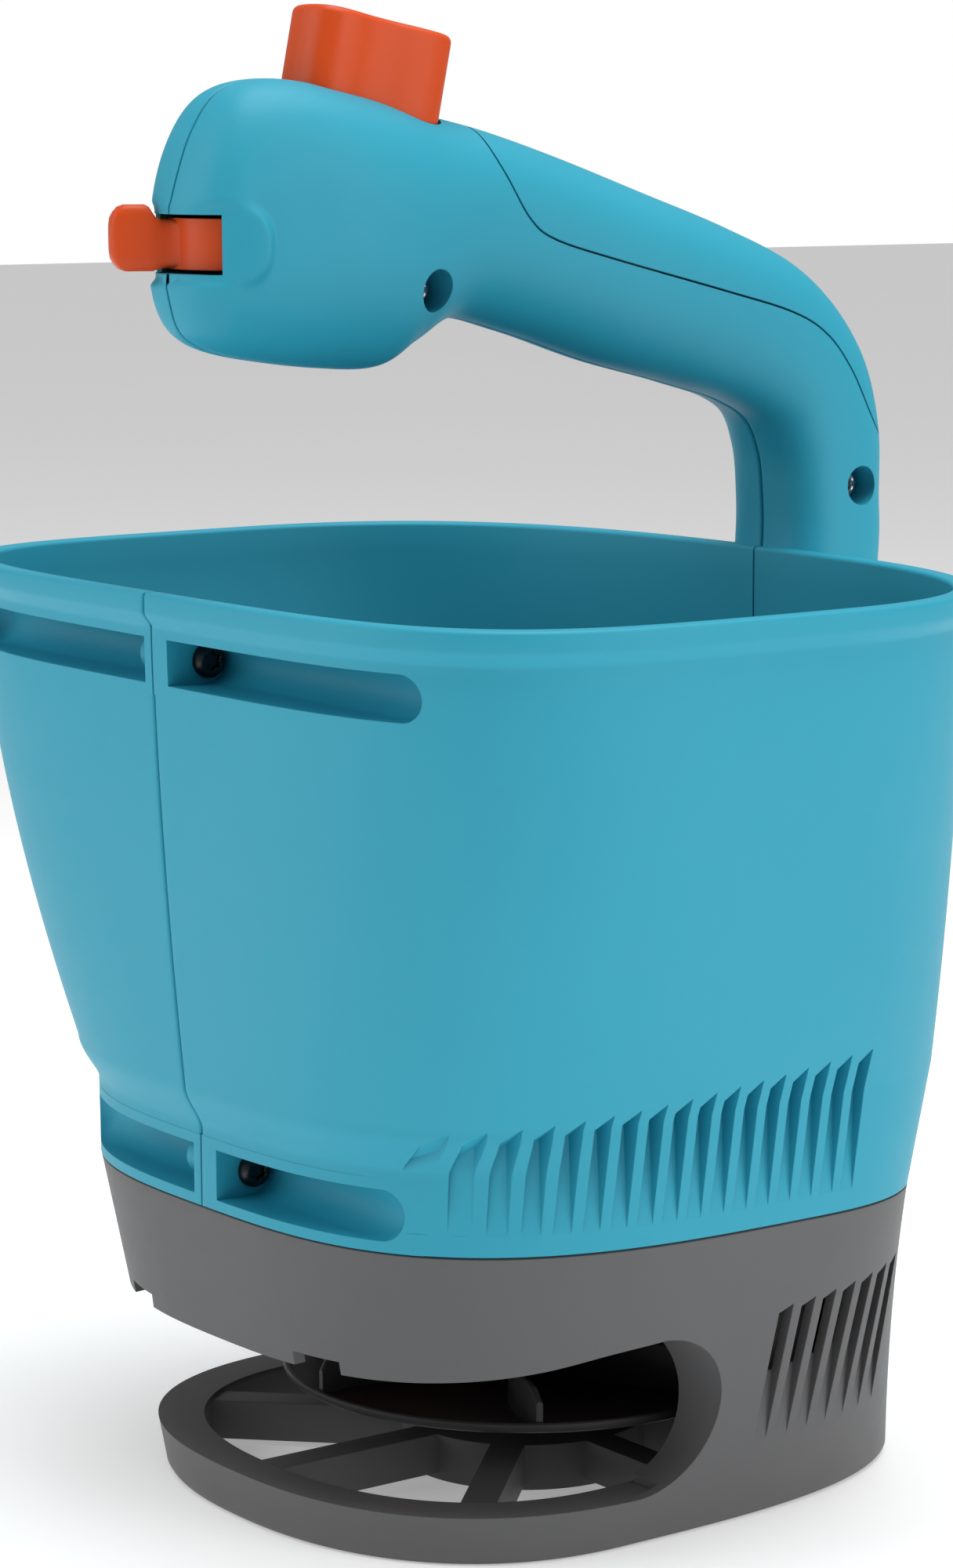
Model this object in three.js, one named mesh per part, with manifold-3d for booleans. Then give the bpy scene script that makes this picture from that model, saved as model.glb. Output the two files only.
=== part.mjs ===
// Hand-held battery spreader: hopper and handle moulded as two half shells, a battery cover on the
// grip, a push button and a rate lever in the head, a motor pod under the hopper floor, a spinning
// disc, and a base with a spoked guard ring. Millimetres. +Z up, -Y is the head (front) side, the
// shells meet at X = 0, and the origin is on the floor under the spinner's axis.
import * as THREE from 'three';
import { mergeVertices } from 'three/addons/utils/BufferGeometryUtils.js';
import Module from 'manifold-3d';

const wasm = await Module();
wasm.setup();

// ---------------------------------------------------------------- driving dimensions
const GAP = 0.3;                 // clearance between neighbouring pieces
const WALL = 2.6;                // shell wall
const SEAM = 0.15;               // each half shell stops this far from X = 0
const FAR = 400;                 // beyond the whole object, for cuts that run right out

// Plan outlines: y0 is the widest station, a the half width, f and r the reach to the front and to
// the rear of y0, nf and nr the roundness exponents of the front and rear corners.
const RIM = { z: 225, y0: -10, a: 124.5, f: 99, r: 87, nf: 4.2, nr: 2.8 };
const JOINT = { z: 79, y0: 10, a: 95.5, f: 105.5, r: 62, nf: 3.1, nr: 3 };
const FOOT = { z: 0, y0: -25, a: 74.5, f: 62.5, r: 115, nf: 2.3, nr: 3 };
const RIM_BAND = 7.5;            // height of the thickened rim
const RIM_PROUD = 2.2;           // rim band beyond the wall below it
const COLLAR_TOP = 98;           // top of the recessed collar above the joint
const LEDGE_TOP = 109;           // where the ledge above the collar has reached the body
const LEDGE = 4.6;               // ledge overhang
const BULGE = 1.6;               // fullness of the side walls

// Handle sections from the head to the foot of the rear spine: centre (y, z), lean of the section's
// normal below +Y, half height and half width of the room inside, and roundness exponent.
const HANDLE = [
  { y: -101.2, z: 300, lean: 0, h: 3.4, w: 2.4, n: 2 },
  { y: -98.5, z: 300.5, lean: 0, h: 13.4, w: 8.4, n: 2.3 },
  { y: -94, z: 304.5, lean: 0, h: 21.4, w: 12.9, n: 2.6 },
  { y: -87, z: 307.5, lean: 0, h: 26.9, w: 15.6, n: 3 },
  { y: -76, z: 308, lean: 0, h: 29.4, w: 18.4, n: 3 },
  { y: -62, z: 306.5, lean: 0, h: 29.6, w: 19.9, n: 2.8 },
  { y: -48, z: 305, lean: 0, h: 28.4, w: 19.7, n: 2.6 },
  { y: -36, z: 305.5, lean: 6, h: 24.4, w: 17.9, n: 2.5 },
  { y: -20, z: 306.5, lean: 14, h: 19.8, w: 15.8, n: 2.5 },
  { y: 0, z: 301.5, lean: 17, h: 19, w: 15, n: 2.5 },
  { y: 25, z: 293.5, lean: 18, h: 18.8, w: 14.9, n: 2.5 },
  { y: 50, z: 286.2, lean: 20, h: 17.8, w: 14.8, n: 2.5 },
  { y: 70, z: 278.5, lean: 34, h: 16.8, w: 14.8, n: 2.6 },
  { y: 83, z: 267, lean: 58, h: 15, w: 14.8, n: 2.8 },
  { y: 88.5, z: 253, lean: 78, h: 13.6, w: 14.8, n: 3 },
  { y: 89.6, z: 238, lean: 90, h: 12.6, w: 14.9, n: 3 },
  { y: 89.5, z: 222, lean: 90, h: 12.6, w: 15.2, n: 3 },
  { y: 85.5, z: 180, lean: 95, h: 12.4, w: 15.4, n: 3 },
  { y: 78.5, z: 130, lean: 98, h: 11.4, w: 15.4, n: 3 },
  { y: 68, z: 84, lean: 90, h: 9.4, w: 15.4, n: 3 },
];
const HANDLE_STEPS = 28;         // lofted sections along the whole handle
const HANDLE_SIDES = 16;         // points round each section
const HANDLE_THIN = 0.5;         // least half size of a section

// Battery cover outline in the Y-Z plane: the parting line from the button to the rear of the post.
const COVER_LINE = [[-22, 336], [-20.5, 325], [-17, 317], [-11.5, 308.3], [-4, 303.4], [15, 298.2],
  [47.4, 290.4], [69.7, 284.6], [81.3, 278.8], [89.4, 270], [98.3, 256], [108, 248]];
const COVER_GAP = 0.5;

// Push button.
const BUTTON = { y0: -63.4, y1: -26.5, w: 11.5, topFront: 356, topRear: 349, skirt: 318, lean: 12 };
const BUTTON_CLEAR = 0.7;
const BUTTON_TRAVEL = 8;

// Rate lever: turns about a vertical pin in the head.
const LEVER = { y: -79, z0: 297.5, z1: 309, r: 18, band: 2, sweep: 62, web: 25, webZ: 3, hub: 6, pin: 3,
  foot: 281.4 };
const KNOB = { angle: -22, tip: 32, thick: 7, z0: 297, z1: 312, edge: 0.8 };
const SLOT = { z0: 296.6, z1: 309.9, end: 41 };

// Screws: 4 mm pan-head screws that draw the half shells together along X.
const SCREW = { head: 4.1, headH: 2.8, shank: 1.7, length: 16, recess: 1.9 };
const POCKET = { web: 6.5, webFar: 3.2, boss: 5 };
const POCKETS = [{ z0: 204, z1: 214.6, floor: -91, end: 94 }, { z0: 81.5, z1: 93.6, floor: -80.5, end: 67 }];
const SIDE_SCREWS = [{ y: -39.6, z: 292 }, { y: 93, z: 240.5 }];
const REAR_SCREWS = [200, 110];
const SEAT_X = 8;                // the side screws' heads sit this far from the split plane
const MOUTH = SCREW.head + 0.8;  // counterbore over a screw's head
const BORE = SCREW.shank + GAP;  // clearance bore
const SCREW_WALL = 1.6;          // boss wall round a counterbore

// Base moulding: skirt, column behind the spinner, and guard ring with spokes.
const BASE = { wall: 3, top: 78.7, ringTop: 12.5, rim: 9.5, rear: 62, hub: 31, spokes: 8, spokeW: 8.5,
  spokeZ: 1.5, floor: 2.6, throwGap: 7, deflector: 2.6, deck: 50 };
// Lower edge of the skirt in the Y-Z plane, from the front to the column, and the window's round end.
const SKIRT_EDGE = [[-130, 45.5], [-90, 46.2], [-72, 47.4], [-56, 49.4], [-40, 52.2], [-25.5, 53.7]];
const WINDOW_END = -4.9;
const NOTCH = { x0: 31, x1: 45, h: 4 };
const LOUVRE = { count: 7, first: 8.2, pitch: 6.95, w: 4.2, z0: 21, z1: 56, rise: 0.6 };
const GROOVE = { count: 17, first: -83.6, pitch: 6.5, w: 3.9, z0: 84, z1: 107, depth: 1.3, rise: 0.66 };
const BOSSES = [[72, -55], [45, 60]];
const BOSS = { r: 5, base: 56, top: 92, rib: 2.6 };

// Hopper floor, dosing ring, motor pod and spinner.
const FLOOR = { edge: 96, top: 80.2, thick: 2.2, lipR: 57, port: 12, portR: 40 };
const DOSER = { z: 75.4, thick: 2, rIn: 22, rOut: 54, travel: 44 };
const POD = { r: 20, wall: 2, z0: 39, floor: 2, flange: 27, flangeZ: 72.6, flangeT: 2.2 };
const MOTOR = { r: 14, z0: 43.5, z1: 73, nose: 4 };
const SHAFT = { r: 1.6, z0: 20.5, z1: 43.2 };
const SPINNER = { r: 61, edgeZ: 25.5, dish: 3, thick: 1.8, hub: 8.5, hubTop: 34, vaneH: 9.5, vaneT: 1.6,
  vanes: 6, turn: 0.04 };

// Power pack in the grip, in its own frame: s along the grip, v away from the hand.
const PACK = { y: -19.7, z: 308.2, slope: 17, cell: 7, length: 49, nub: 2.5, nubH: 1.2, x: 7.25, gap: 0.8,
  contact: 0.6, wall: 1.4, tray: 1.6, half: 12.4 };
const SWITCH = { y: -58, z0: 286, z1: 296, w: 6, l: 16, plateY0: -68, plateY1: -46 };
const SPRING = { r: 5.4, wire: 0.55, turns: 6, z0: 299.4, z1: 345 };

// ---------------------------------------------------------------- solids and booleans
function solid(geometry) {
  const bare = geometry.clone();
  bare.deleteAttribute('normal');
  bare.deleteAttribute('uv');
  const merged = mergeVertices(bare, 1e-4);
  const mesh = new wasm.Mesh({
    numProp: 3,
    vertProperties: new Float32Array(merged.attributes.position.array),
    triVerts: new Uint32Array(merged.index.array),
  });
  return new wasm.Manifold(mesh);
}

function geometryOf(manifold) {
  const mesh = manifold.getMesh();
  const geometry = new THREE.BufferGeometry();
  geometry.setAttribute('position', new THREE.BufferAttribute(new Float32Array(mesh.vertProperties), 3));
  geometry.setIndex(Array.from(mesh.triVerts));
  geometry.computeVertexNormals();
  return geometry;
}

const join = (first, ...rest) => rest.reduce((sum, next) => sum.add(next), first);
const cut = (first, ...rest) => rest.reduce((sum, next) => sum.subtract(next), first);

function box(x0, x1, y0, y1, z0, z1) {
  const geometry = new THREE.BoxGeometry(x1 - x0, y1 - y0, z1 - z0);
  geometry.translate((x0 + x1) / 2, (y0 + y1) / 2, (z0 + z1) / 2);
  return solid(geometry);
}

// A cylinder from z0 to z1, or along X from x0 to x1.
function barrel(radius, z0, z1, x = 0, y = 0, sides = 32) {
  const geometry = new THREE.CylinderGeometry(radius, radius, z1 - z0, sides);
  geometry.rotateX(Math.PI / 2).translate(x, y, (z0 + z1) / 2);
  return solid(geometry);
}

function barrelX(radius, x0, x1, y, z, sides = 12) {
  const geometry = new THREE.CylinderGeometry(radius, radius, x1 - x0, sides);
  geometry.rotateZ(-Math.PI / 2).translate((x0 + x1) / 2, y, z);
  return solid(geometry);
}

function slab(shape, z0, z1, curveSegments = 12) {
  const geometry = new THREE.ExtrudeGeometry(shape, { depth: z1 - z0, bevelEnabled: false, curveSegments });
  return solid(geometry.translate(0, 0, z0));
}

// Extrudes a shape drawn in the Y-Z plane along X.
function slabX(shape, x0, x1, curveSegments = 12) {
  const geometry = new THREE.ExtrudeGeometry(shape, { depth: x1 - x0, bevelEnabled: false, curveSegments });
  geometry.applyMatrix4(new THREE.Matrix4().set(0, 0, 1, x0, 1, 0, 0, 0, 0, 1, 0, 0, 0, 0, 0, 1));
  return solid(geometry);
}

// Skins a stack of rings that have the same number of points, and caps both ends.
function loft(rings) {
  const count = rings[0].length;
  const points = rings.flat();
  const faces = [];
  for (let i = 0; i + 1 < rings.length; i += 1) {
    for (let j = 0; j < count; j += 1) {
      const a = i * count + j;
      const b = i * count + (j + 1) % count;
      faces.push(a, b, b + count, a, b + count, a + count);
    }
  }
  for (const [ring, flip] of [[0, true], [rings.length - 1, false]]) {
    const centre = new THREE.Vector3();
    rings[ring].forEach((p) => centre.add(p));
    points.push(centre.divideScalar(count));
    for (let j = 0; j < count; j += 1) {
      const a = ring * count + j;
      const b = ring * count + (j + 1) % count;
      faces.push(points.length - 1, flip ? b : a, flip ? a : b);
    }
  }
  const geometry = new THREE.BufferGeometry();
  geometry.setAttribute('position', new THREE.Float32BufferAttribute(points.flatMap((p) => p.toArray()), 3));
  geometry.setIndex(faces);
  const made = solid(geometry);
  if (made.volume() > 0) return made;
  for (let i = 0; i < faces.length; i += 3) [faces[i + 1], faces[i + 2]] = [faces[i + 2], faces[i + 1]];
  geometry.setIndex(faces);
  return solid(geometry);
}

const power = (value, exponent) => Math.sign(value) * Math.abs(value) ** exponent;
const mix = (a, b, t) => a + (b - a) * t;

function mixPlan(p, q, t) {
  const out = {};
  for (const key of ['z', 'y0', 'a', 'f', 'r', 'nf', 'nr']) out[key] = mix(p[key], q[key], t);
  return out;
}

function planRing(plan, grow, z, count = 40) {
  const ring = [];
  for (let i = 0; i < count; i += 1) {
    const angle = (i / count) * 2 * Math.PI;
    const front = Math.sin(angle) < 0;
    const n = 2 / (front ? plan.nf : plan.nr);
    const reach = (front ? plan.f : plan.r) + grow;
    ring.push(new THREE.Vector3(power(Math.cos(angle), n) * (plan.a + grow),
      plan.y0 + power(Math.sin(angle), n) * reach, z));
  }
  return ring;
}

// ---------------------------------------------------------------- body outlines
// The plan of the hopper's outer wall at height z, below the rim band.
const BAND_Z = RIM.z - RIM_BAND;
function wallAt(z) {
  if (z <= COLLAR_TOP) return { plan: JOINT, grow: 0 };
  if (z <= LEDGE_TOP) {
    const climb = (z - COLLAR_TOP) / (LEDGE_TOP - COLLAR_TOP);
    return { plan: JOINT, grow: LEDGE * Math.sin((climb * Math.PI) / 2) };
  }
  const t = 1 - (1 - (z - LEDGE_TOP) / (BAND_Z - LEDGE_TOP)) ** BULGE;
  return { plan: mixPlan(JOINT, RIM, t), grow: mix(LEDGE, -RIM_PROUD, t) };
}

const LEVELS = [JOINT.z, COLLAR_TOP, (COLLAR_TOP + LEDGE_TOP) / 2, LEDGE_TOP, 130, 160, 190];
function hopperRings(inset) {
  const rings = LEVELS.map((z) => {
    const at = wallAt(z);
    return planRing(at.plan, at.grow - inset, z);
  });
  const band = wallAt(BAND_Z);
  rings.push(planRing(band.plan, band.grow - inset, BAND_Z));
  return rings;
}

const hopperOuter = loft([...hopperRings(0), planRing(RIM, 0, BAND_Z + 0.5), planRing(RIM, 0, RIM.z - 1.5),
  planRing(RIM, -0.8, RIM.z)]);
const innerRings = hopperRings(WALL);
innerRings[0].forEach((p) => { p.z -= 5; });
const hopperInner = loft([...innerRings, planRing(RIM, -RIM_PROUD - WALL, RIM.z + 5)]);

// A piecewise smooth curve through the handle's sections.
function handleSection(t, shrink) {
  const last = HANDLE.length - 1;
  const i = Math.min(Math.floor(t * last), last - 1);
  const u = t * last - i;
  const out = {};
  for (const key of ['y', 'z', 'lean', 'h', 'w', 'n']) {
    const p = [i - 1, i, i + 1, i + 2].map((k) => HANDLE[Math.max(0, Math.min(last, k))][key]);
    out[key] = p[1] + 0.5 * u * (p[2] - p[0] + u * (2 * p[0] - 5 * p[1] + 4 * p[2] - p[3]
      + u * (3 * (p[1] - p[2]) + p[3] - p[0])));
  }
  const lean = THREE.MathUtils.degToRad(out.lean);
  const up = new THREE.Vector3(0, Math.sin(lean), Math.cos(lean));
  const ring = [];
  const count = HANDLE_SIDES;
  for (let k = 0; k < count; k += 1) {
    const angle = (k / count) * 2 * Math.PI;
    const x = power(Math.cos(angle), 2 / out.n) * Math.max(out.w + WALL - shrink, HANDLE_THIN);
    const v = power(Math.sin(angle), 2 / out.n) * Math.max(out.h + WALL - shrink, HANDLE_THIN);
    ring.push(new THREE.Vector3(x, out.y + up.y * v, out.z + up.z * v));
  }
  return ring;
}

function handleLoft(shrink, from, to) {
  const rings = [];
  for (let i = 0; i <= HANDLE_STEPS; i += 1) {
    const t = i / HANDLE_STEPS;
    if (t >= from && t <= to) rings.push(handleSection(t, shrink));
  }
  return loft(rings);
}

const handleOuter = handleLoft(0, 0, 1);
const handleInner = handleLoft(WALL, 1.5 / (HANDLE.length - 1), 1 - 0.3 / (HANDLE.length - 1));

// Side of the handle that belongs to the battery cover, as a prism through the handle.
function coverPrism(shift) {
  const shape = new THREE.Shape();
  const line = COVER_LINE.map(([y, z]) => new THREE.Vector2(y, z));
  const curve = new THREE.SplineCurve(line);
  const points = curve.getPoints(30);
  shape.moveTo(points[0].x, points[0].y + shift);
  points.slice(1).forEach((p, i) => {
    const back = points[i];
    const along = p.clone().sub(back).normalize();
    shape.lineTo(p.x + along.y * -shift, p.y + along.x * shift);
  });
  shape.lineTo(130, 248 + shift);
  shape.lineTo(130, 350);
  shape.lineTo(-22, 350);
  return slabX(shape, -40, 40);
}

// ---------------------------------------------------------------- the two half shells
const buttonLean = THREE.MathUtils.degToRad(BUTTON.lean);
// Plan of the button, seen along its own axis: a nose, a waist and a wider rear.
function buttonShape(grow) {
  const length = BUTTON.y1 - BUTTON.y0;
  const half = [[0, 0], [0.02, 0.5], [0.1, 0.76], [0.24, 0.84], [0.42, 0.83], [0.6, 0.93], [0.78, 1],
    [0.92, 0.93], [0.99, 0.62], [1, 0]];
  const side = half.map(([t, w]) => {
    const y = BUTTON.y0 - grow + t * (length + 2 * grow);
    return new THREE.Vector2(w * (BUTTON.w + grow), y);
  });
  const right = new THREE.SplineCurve(side).getPoints(14);
  const left = right.slice(1, -1).reverse().map((p) => new THREE.Vector2(-p.x, p.y));
  return new THREE.Shape([...right, ...left]);
}

const buttonPivot = [(BUTTON.y0 + BUTTON.y1) / 2, (BUTTON.topFront + BUTTON.topRear) / 2];
function alongButton(manifoldGeometry) {
  // The button's own axis leans back by its lean angle about the middle of its top.
  const turn = new THREE.Matrix4().makeRotationX(-buttonLean);
  const there = new THREE.Matrix4().makeTranslation(0, buttonPivot[0], buttonPivot[1]);
  const back = new THREE.Matrix4().makeTranslation(0, -buttonPivot[0], -buttonPivot[1]);
  return manifoldGeometry.applyMatrix4(there.multiply(turn).multiply(back));
}

function buttonPrism(grow, z0, z1) {
  const geometry = new THREE.ExtrudeGeometry(buttonShape(grow), { depth: z1 - z0, bevelEnabled: false });
  return solid(alongButton(geometry.translate(0, 0, z0)));
}

function slotCut() {
  // A wedge from the lever's axis through the front of the head.
  const reach = 40;
  const end = THREE.MathUtils.degToRad(SLOT.end);
  const shape = new THREE.Shape();
  shape.moveTo(0, LEVER.y);
  shape.lineTo(-reach * Math.sin(end), LEVER.y - reach * Math.cos(end));
  shape.lineTo(reach * Math.sin(end), LEVER.y - reach * Math.cos(end));
  return slab(shape, SLOT.z0, SLOT.z1);
}

// Round room inside the head for the lever's band, and the wall around it.
const leverRoom = barrel(LEVER.r + 0.8, SLOT.z0, SLOT.z1, 0, LEVER.y, 36);
const leverBulge = barrel(LEVER.r + 0.8 + WALL * 0.8, SLOT.z0 - 2, SLOT.z1 + 2, 0, LEVER.y, 36)
  .intersect(box(-30, 30, -110, LEVER.y + 8, SLOT.z0 - 3, SLOT.z1 + 3));

function pocketWall({ z0, z1, floor, end }) {
  return box(-end - WALL, end + WALL, -FAR, floor + WALL, z0 - WALL, z1 + WALL);
}

function screwSeats() {
  const cuts = [];
  POCKETS.forEach(({ z0, z1, floor, end }) => {
    cuts.push(box(POCKET.web, end, -FAR, floor, z0, z1));
    cuts.push(box(-end, -POCKET.webFar, -FAR, floor, z0, z1));
    cuts.push(barrelX(BORE, -POCKET.webFar - 20, POCKET.web + 1, pocketAxis(floor), (z0 + z1) / 2));
  });
  seatedScrews().forEach(({ y, z }) => {
    cuts.push(barrelX(MOUTH, SEAT_X, FAR, y, z));
    cuts.push(barrelX(BORE, SEAT_X - SCREW.length - 4, SEAT_X + 1, y, z));
  });
  return cuts;
}

const pocketAxis = (floor) => floor - SCREW.head - 1.1;
// The spine's screws follow its slope, a little behind its centre line.
const rearScrewY = (z) => mix(82.5, 89.5, (z - 130) / 50);
function seatedScrews() {
  return [...SIDE_SCREWS, ...REAR_SCREWS.map((z) => ({ y: rearScrewY(z), z }))];
}

// Screw bosses: the bore's tube between the half shells, solid inside the handle.
function screwBosses() {
  const blindEnd = SEAT_X - SCREW.length - 7;
  return seatedScrews().map(({ y, z }) => barrelX(MOUTH + SCREW_WALL, blindEnd, 26, y, z, 20));
}

function pocketBosses() {
  return POCKETS.map(({ z0, z1, floor }) => {
    const y = pocketAxis(floor);
    const z = (z0 + z1) / 2;
    const blindEnd = POCKET.web - SCREW.length - 5.5;
    const boss = barrelX(POCKET.boss, blindEnd, -POCKET.webFar + 0.5, y, z);
    return boss.subtract(barrelX(BORE, blindEnd + 2, 0, y, z));
  });
}

// Ornamental flutes, pointed at the bottom and slanted at the top, no deeper than the skin they cut.
function flutes({ count, first, pitch, w, z0, z1, rise = 0 }) {
  const prisms = [];
  for (let i = 0; i < count; i += 1) {
    const y = first + i * pitch;
    const top = z1 + i * rise;
    const shape = new THREE.Shape();
    shape.moveTo(y, z0);
    shape.lineTo(y + w, top);
    shape.lineTo(y, top - w * 0.4);
    prisms.push(slabX(shape, -FAR, FAR, 1));
  }
  return join(...prisms);
}

// A block from a boss out through the wall beside it.
function sideways(side, x, y, half, z0, z1) {
  const [near, far] = [side * x, side * FAR].sort((p, q) => p - q);
  return box(near, far, y - half, y + half, z0, z1);
}

// Bosses in the collar's corners that take the screws from the base, each with a rib to the wall.
function shellBosses() {
  const made = [];
  BOSSES.forEach(([x, y]) => [-1, 1].forEach((side) => {
    const post = barrel(BOSS.r, JOINT.z, BOSS.top, side * x, y, 16);
    const rib = sideways(side, x, y, BOSS.rib / 2, JOINT.z, BOSS.top);
    made.push(join(post, rib.intersect(loft(hopperRings(WALL / 2)))));
  }));
  return made;
}

const handleRoom = handleInner.subtract(hopperOuter);
const bossSolid = join(...screwBosses()).intersect(handleOuter);
const shellOuter = join(hopperOuter, handleOuter, leverBulge.intersect(box(-30, 30, -101.5, -70, 280, 330)));
const hopperRoom = cut(hopperInner, ...POCKETS.map(pocketWall));
const headRoom = cut(join(handleRoom, leverRoom), bossSolid);
let shells = cut(shellOuter, hopperRoom, headRoom, slotCut(), buttonPrism(BUTTON_CLEAR, 322, 380));
shells = cut(shells, coverPrism(-COVER_GAP), ...screwSeats());
shells = join(shells, ...pocketBosses(), ...shellBosses());
const grooveSkin = loft(hopperRings(-1)).subtract(loft(hopperRings(GROOVE.depth)));
BOSSES.forEach(([x, y]) => [-1, 1].forEach((side) => {
  shells = shells.subtract(barrel(BORE, JOINT.z - 1, BOSS.top - 2, side * x, y, 12));
}));
shells = cut(shells, flutes(GROOVE).intersect(grooveSkin));

const shellRight = shells.intersect(box(SEAM, FAR, -FAR, FAR, -FAR, FAR));
const shellLeft = shells.intersect(box(-FAR, -SEAM, -FAR, FAR, -FAR, FAR));

// ---------------------------------------------------------------- assembly
const object = new THREE.Group();
const plastic = (color) => new THREE.MeshStandardMaterial({ color, roughness: 0.55, metalness: 0 });
const metal = (color, roughness = 0.35) => new THREE.MeshStandardMaterial({ color, roughness, metalness: 1 });
const TEAL = 0x3fa7bb;
const ORANGE = 0xd9561c;
const GREY = 0x5c5c5d;
const DARK = 0x1f2022;
const ZINC = 0x8e9194;

function add(name, shape, material) {
  const mesh = new THREE.Mesh(shape.getMesh ? geometryOf(shape) : shape, material);
  mesh.name = name;
  object.add(mesh);
  return mesh;
}

add('shell_right', shellRight, plastic(TEAL));
add('shell_left', shellLeft, plastic(TEAL));

// Battery cover: the top shell of the grip, from behind the button round to the back of the post.
const coverRoom = handleLoft(WALL - GAP, 4 / (HANDLE.length - 1), 1);
const coverSkin = cut(handleOuter, coverRoom, bossSolid);
add('battery_cover', coverSkin.intersect(coverPrism(0)), plastic(TEAL));

// Push button: an open cup on a stem.
const cupTop = buttonPivot[1];
const stem = new THREE.CylinderGeometry(2.6, 2.6, cupTop - SWITCH.z1 - BUTTON_TRAVEL - 4, 16);
stem.rotateX(Math.PI / 2).translate(0, buttonPivot[0], (cupTop + SWITCH.z1 + BUTTON_TRAVEL + 3) / 2);
const cup = cut(buttonPrism(0, BUTTON.skirt, cupTop), buttonPrism(-2.2, BUTTON.skirt - 5, cupTop - 2.4));
const cupEdge = buttonPrism(-1, cupTop - 0.5, cupTop + 0.8);
add('push_button', join(cup, cupEdge, solid(alongButton(stem))), plastic(ORANGE));

// Return spring round the stem.
class Helix extends THREE.Curve {
  getPoint(t) {
    const angle = t * SPRING.turns * 2 * Math.PI;
    return new THREE.Vector3(SPRING.r * Math.cos(angle), buttonPivot[0] + SPRING.r * Math.sin(angle),
      mix(SPRING.z0, SPRING.z1, t));
  }
}
const wire = new THREE.Shape().absarc(0, 0, SPRING.wire, 0, 2 * Math.PI);
const coil = new THREE.ExtrudeGeometry(wire, { steps: 60, curveSegments: 2, bevelEnabled: false,
  extrudePath: new Helix() });
add('return_spring', solid(alongButton(coil)), metal(0xa9abad));

// Microswitch under the stem, on its carrier plate.
const switchHalf = SWITCH.l / 2;
const switchYs = [SWITCH.y - switchHalf, SWITCH.y + switchHalf];
add('micro_switch', box(-SWITCH.w, SWITCH.w, ...switchYs, SWITCH.z0, SWITCH.z1), plastic(DARK));
const plate = box(-13, 13, SWITCH.plateY0, SWITCH.plateY1, SWITCH.z1 + GAP, SWITCH.z1 + 1.2);
add('switch_carrier', plate, plastic(GREY));

// Rate lever: hub, web, band and knob in one piece, and the pin it turns on.
function arcBand(inner, outer, from, to, z0, z1) {
  const shape = new THREE.Shape();
  const start = THREE.MathUtils.degToRad(from - 90);
  const end = THREE.MathUtils.degToRad(to - 90);
  shape.absarc(0, LEVER.y, outer, start, end, false);
  shape.absarc(0, LEVER.y, inner, end, start, true);
  return slab(shape, z0, z1, 9);
}

function knob() {
  const { tip, thick, z0, z1, edge } = KNOB;
  const shape = new THREE.Shape();
  shape.moveTo(LEVER.r - 1, SLOT.z0 + 1);
  shape.lineTo(LEVER.r + 5, SLOT.z0 + 1);
  shape.lineTo(LEVER.r + 5.5, z0);
  shape.lineTo(tip - 4, z0);
  shape.absarc(tip - 4, z0 + 4, 4, -Math.PI / 2, 0, false);
  shape.absarc(tip - 4, z1 - 4, 4, 0, Math.PI / 2, false);
  shape.lineTo(LEVER.r + 7.5, z1);
  shape.lineTo(LEVER.r + 5, SLOT.z1 - 1);
  shape.lineTo(LEVER.r - 1, SLOT.z1 - 1);
  const geometry = new THREE.ExtrudeGeometry(shape, { depth: thick - 2 * edge, curveSegments: 5,
    bevelEnabled: true, bevelThickness: edge, bevelSize: edge, bevelOffset: -edge, bevelSegments: 1 });
  geometry.translate(0, 0, edge - thick / 2).rotateX(Math.PI / 2);
  geometry.rotateZ(THREE.MathUtils.degToRad(KNOB.angle - 90)).translate(0, LEVER.y, 0);
  return solid(geometry);
}

const across = (half) => [KNOB.angle - half, KNOB.angle + half];
const leverBody = join(barrel(LEVER.hub, LEVER.z0, LEVER.z1, 0, LEVER.y, 24),
  arcBand(LEVER.hub - 1, LEVER.r - LEVER.band + 0.5, ...across(LEVER.web), LEVER.z0, LEVER.z0 + LEVER.webZ),
  arcBand(LEVER.r - LEVER.band, LEVER.r, ...across(LEVER.sweep), LEVER.z0, LEVER.z1), knob());
add('rate_lever', leverBody.subtract(barrel(LEVER.pin + 0.1, 280, 320, 0, LEVER.y, 24)), plastic(ORANGE));
const pinFoot = barrel(LEVER.pin + 3.5, LEVER.foot, LEVER.foot + 2, 0, LEVER.y, 20);
add('lever_pin', join(barrel(LEVER.pin, LEVER.foot, LEVER.z1 + 3, 0, LEVER.y, 24), pinFoot), metal(0xb6b8ba));

// Power pack: tray, four cells in two rows and the contact plates at its ends.
const pack = new THREE.Group();
pack.position.set(0, PACK.y, PACK.z);
pack.rotation.x = -THREE.MathUtils.degToRad(PACK.slope);
object.add(pack);
const packLength = 2 * (PACK.length + PACK.nubH) + 3 * PACK.gap + 2 * PACK.contact;
function addToPack(name, shape, material) {
  pack.add(add(name, shape, material));
}

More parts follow.
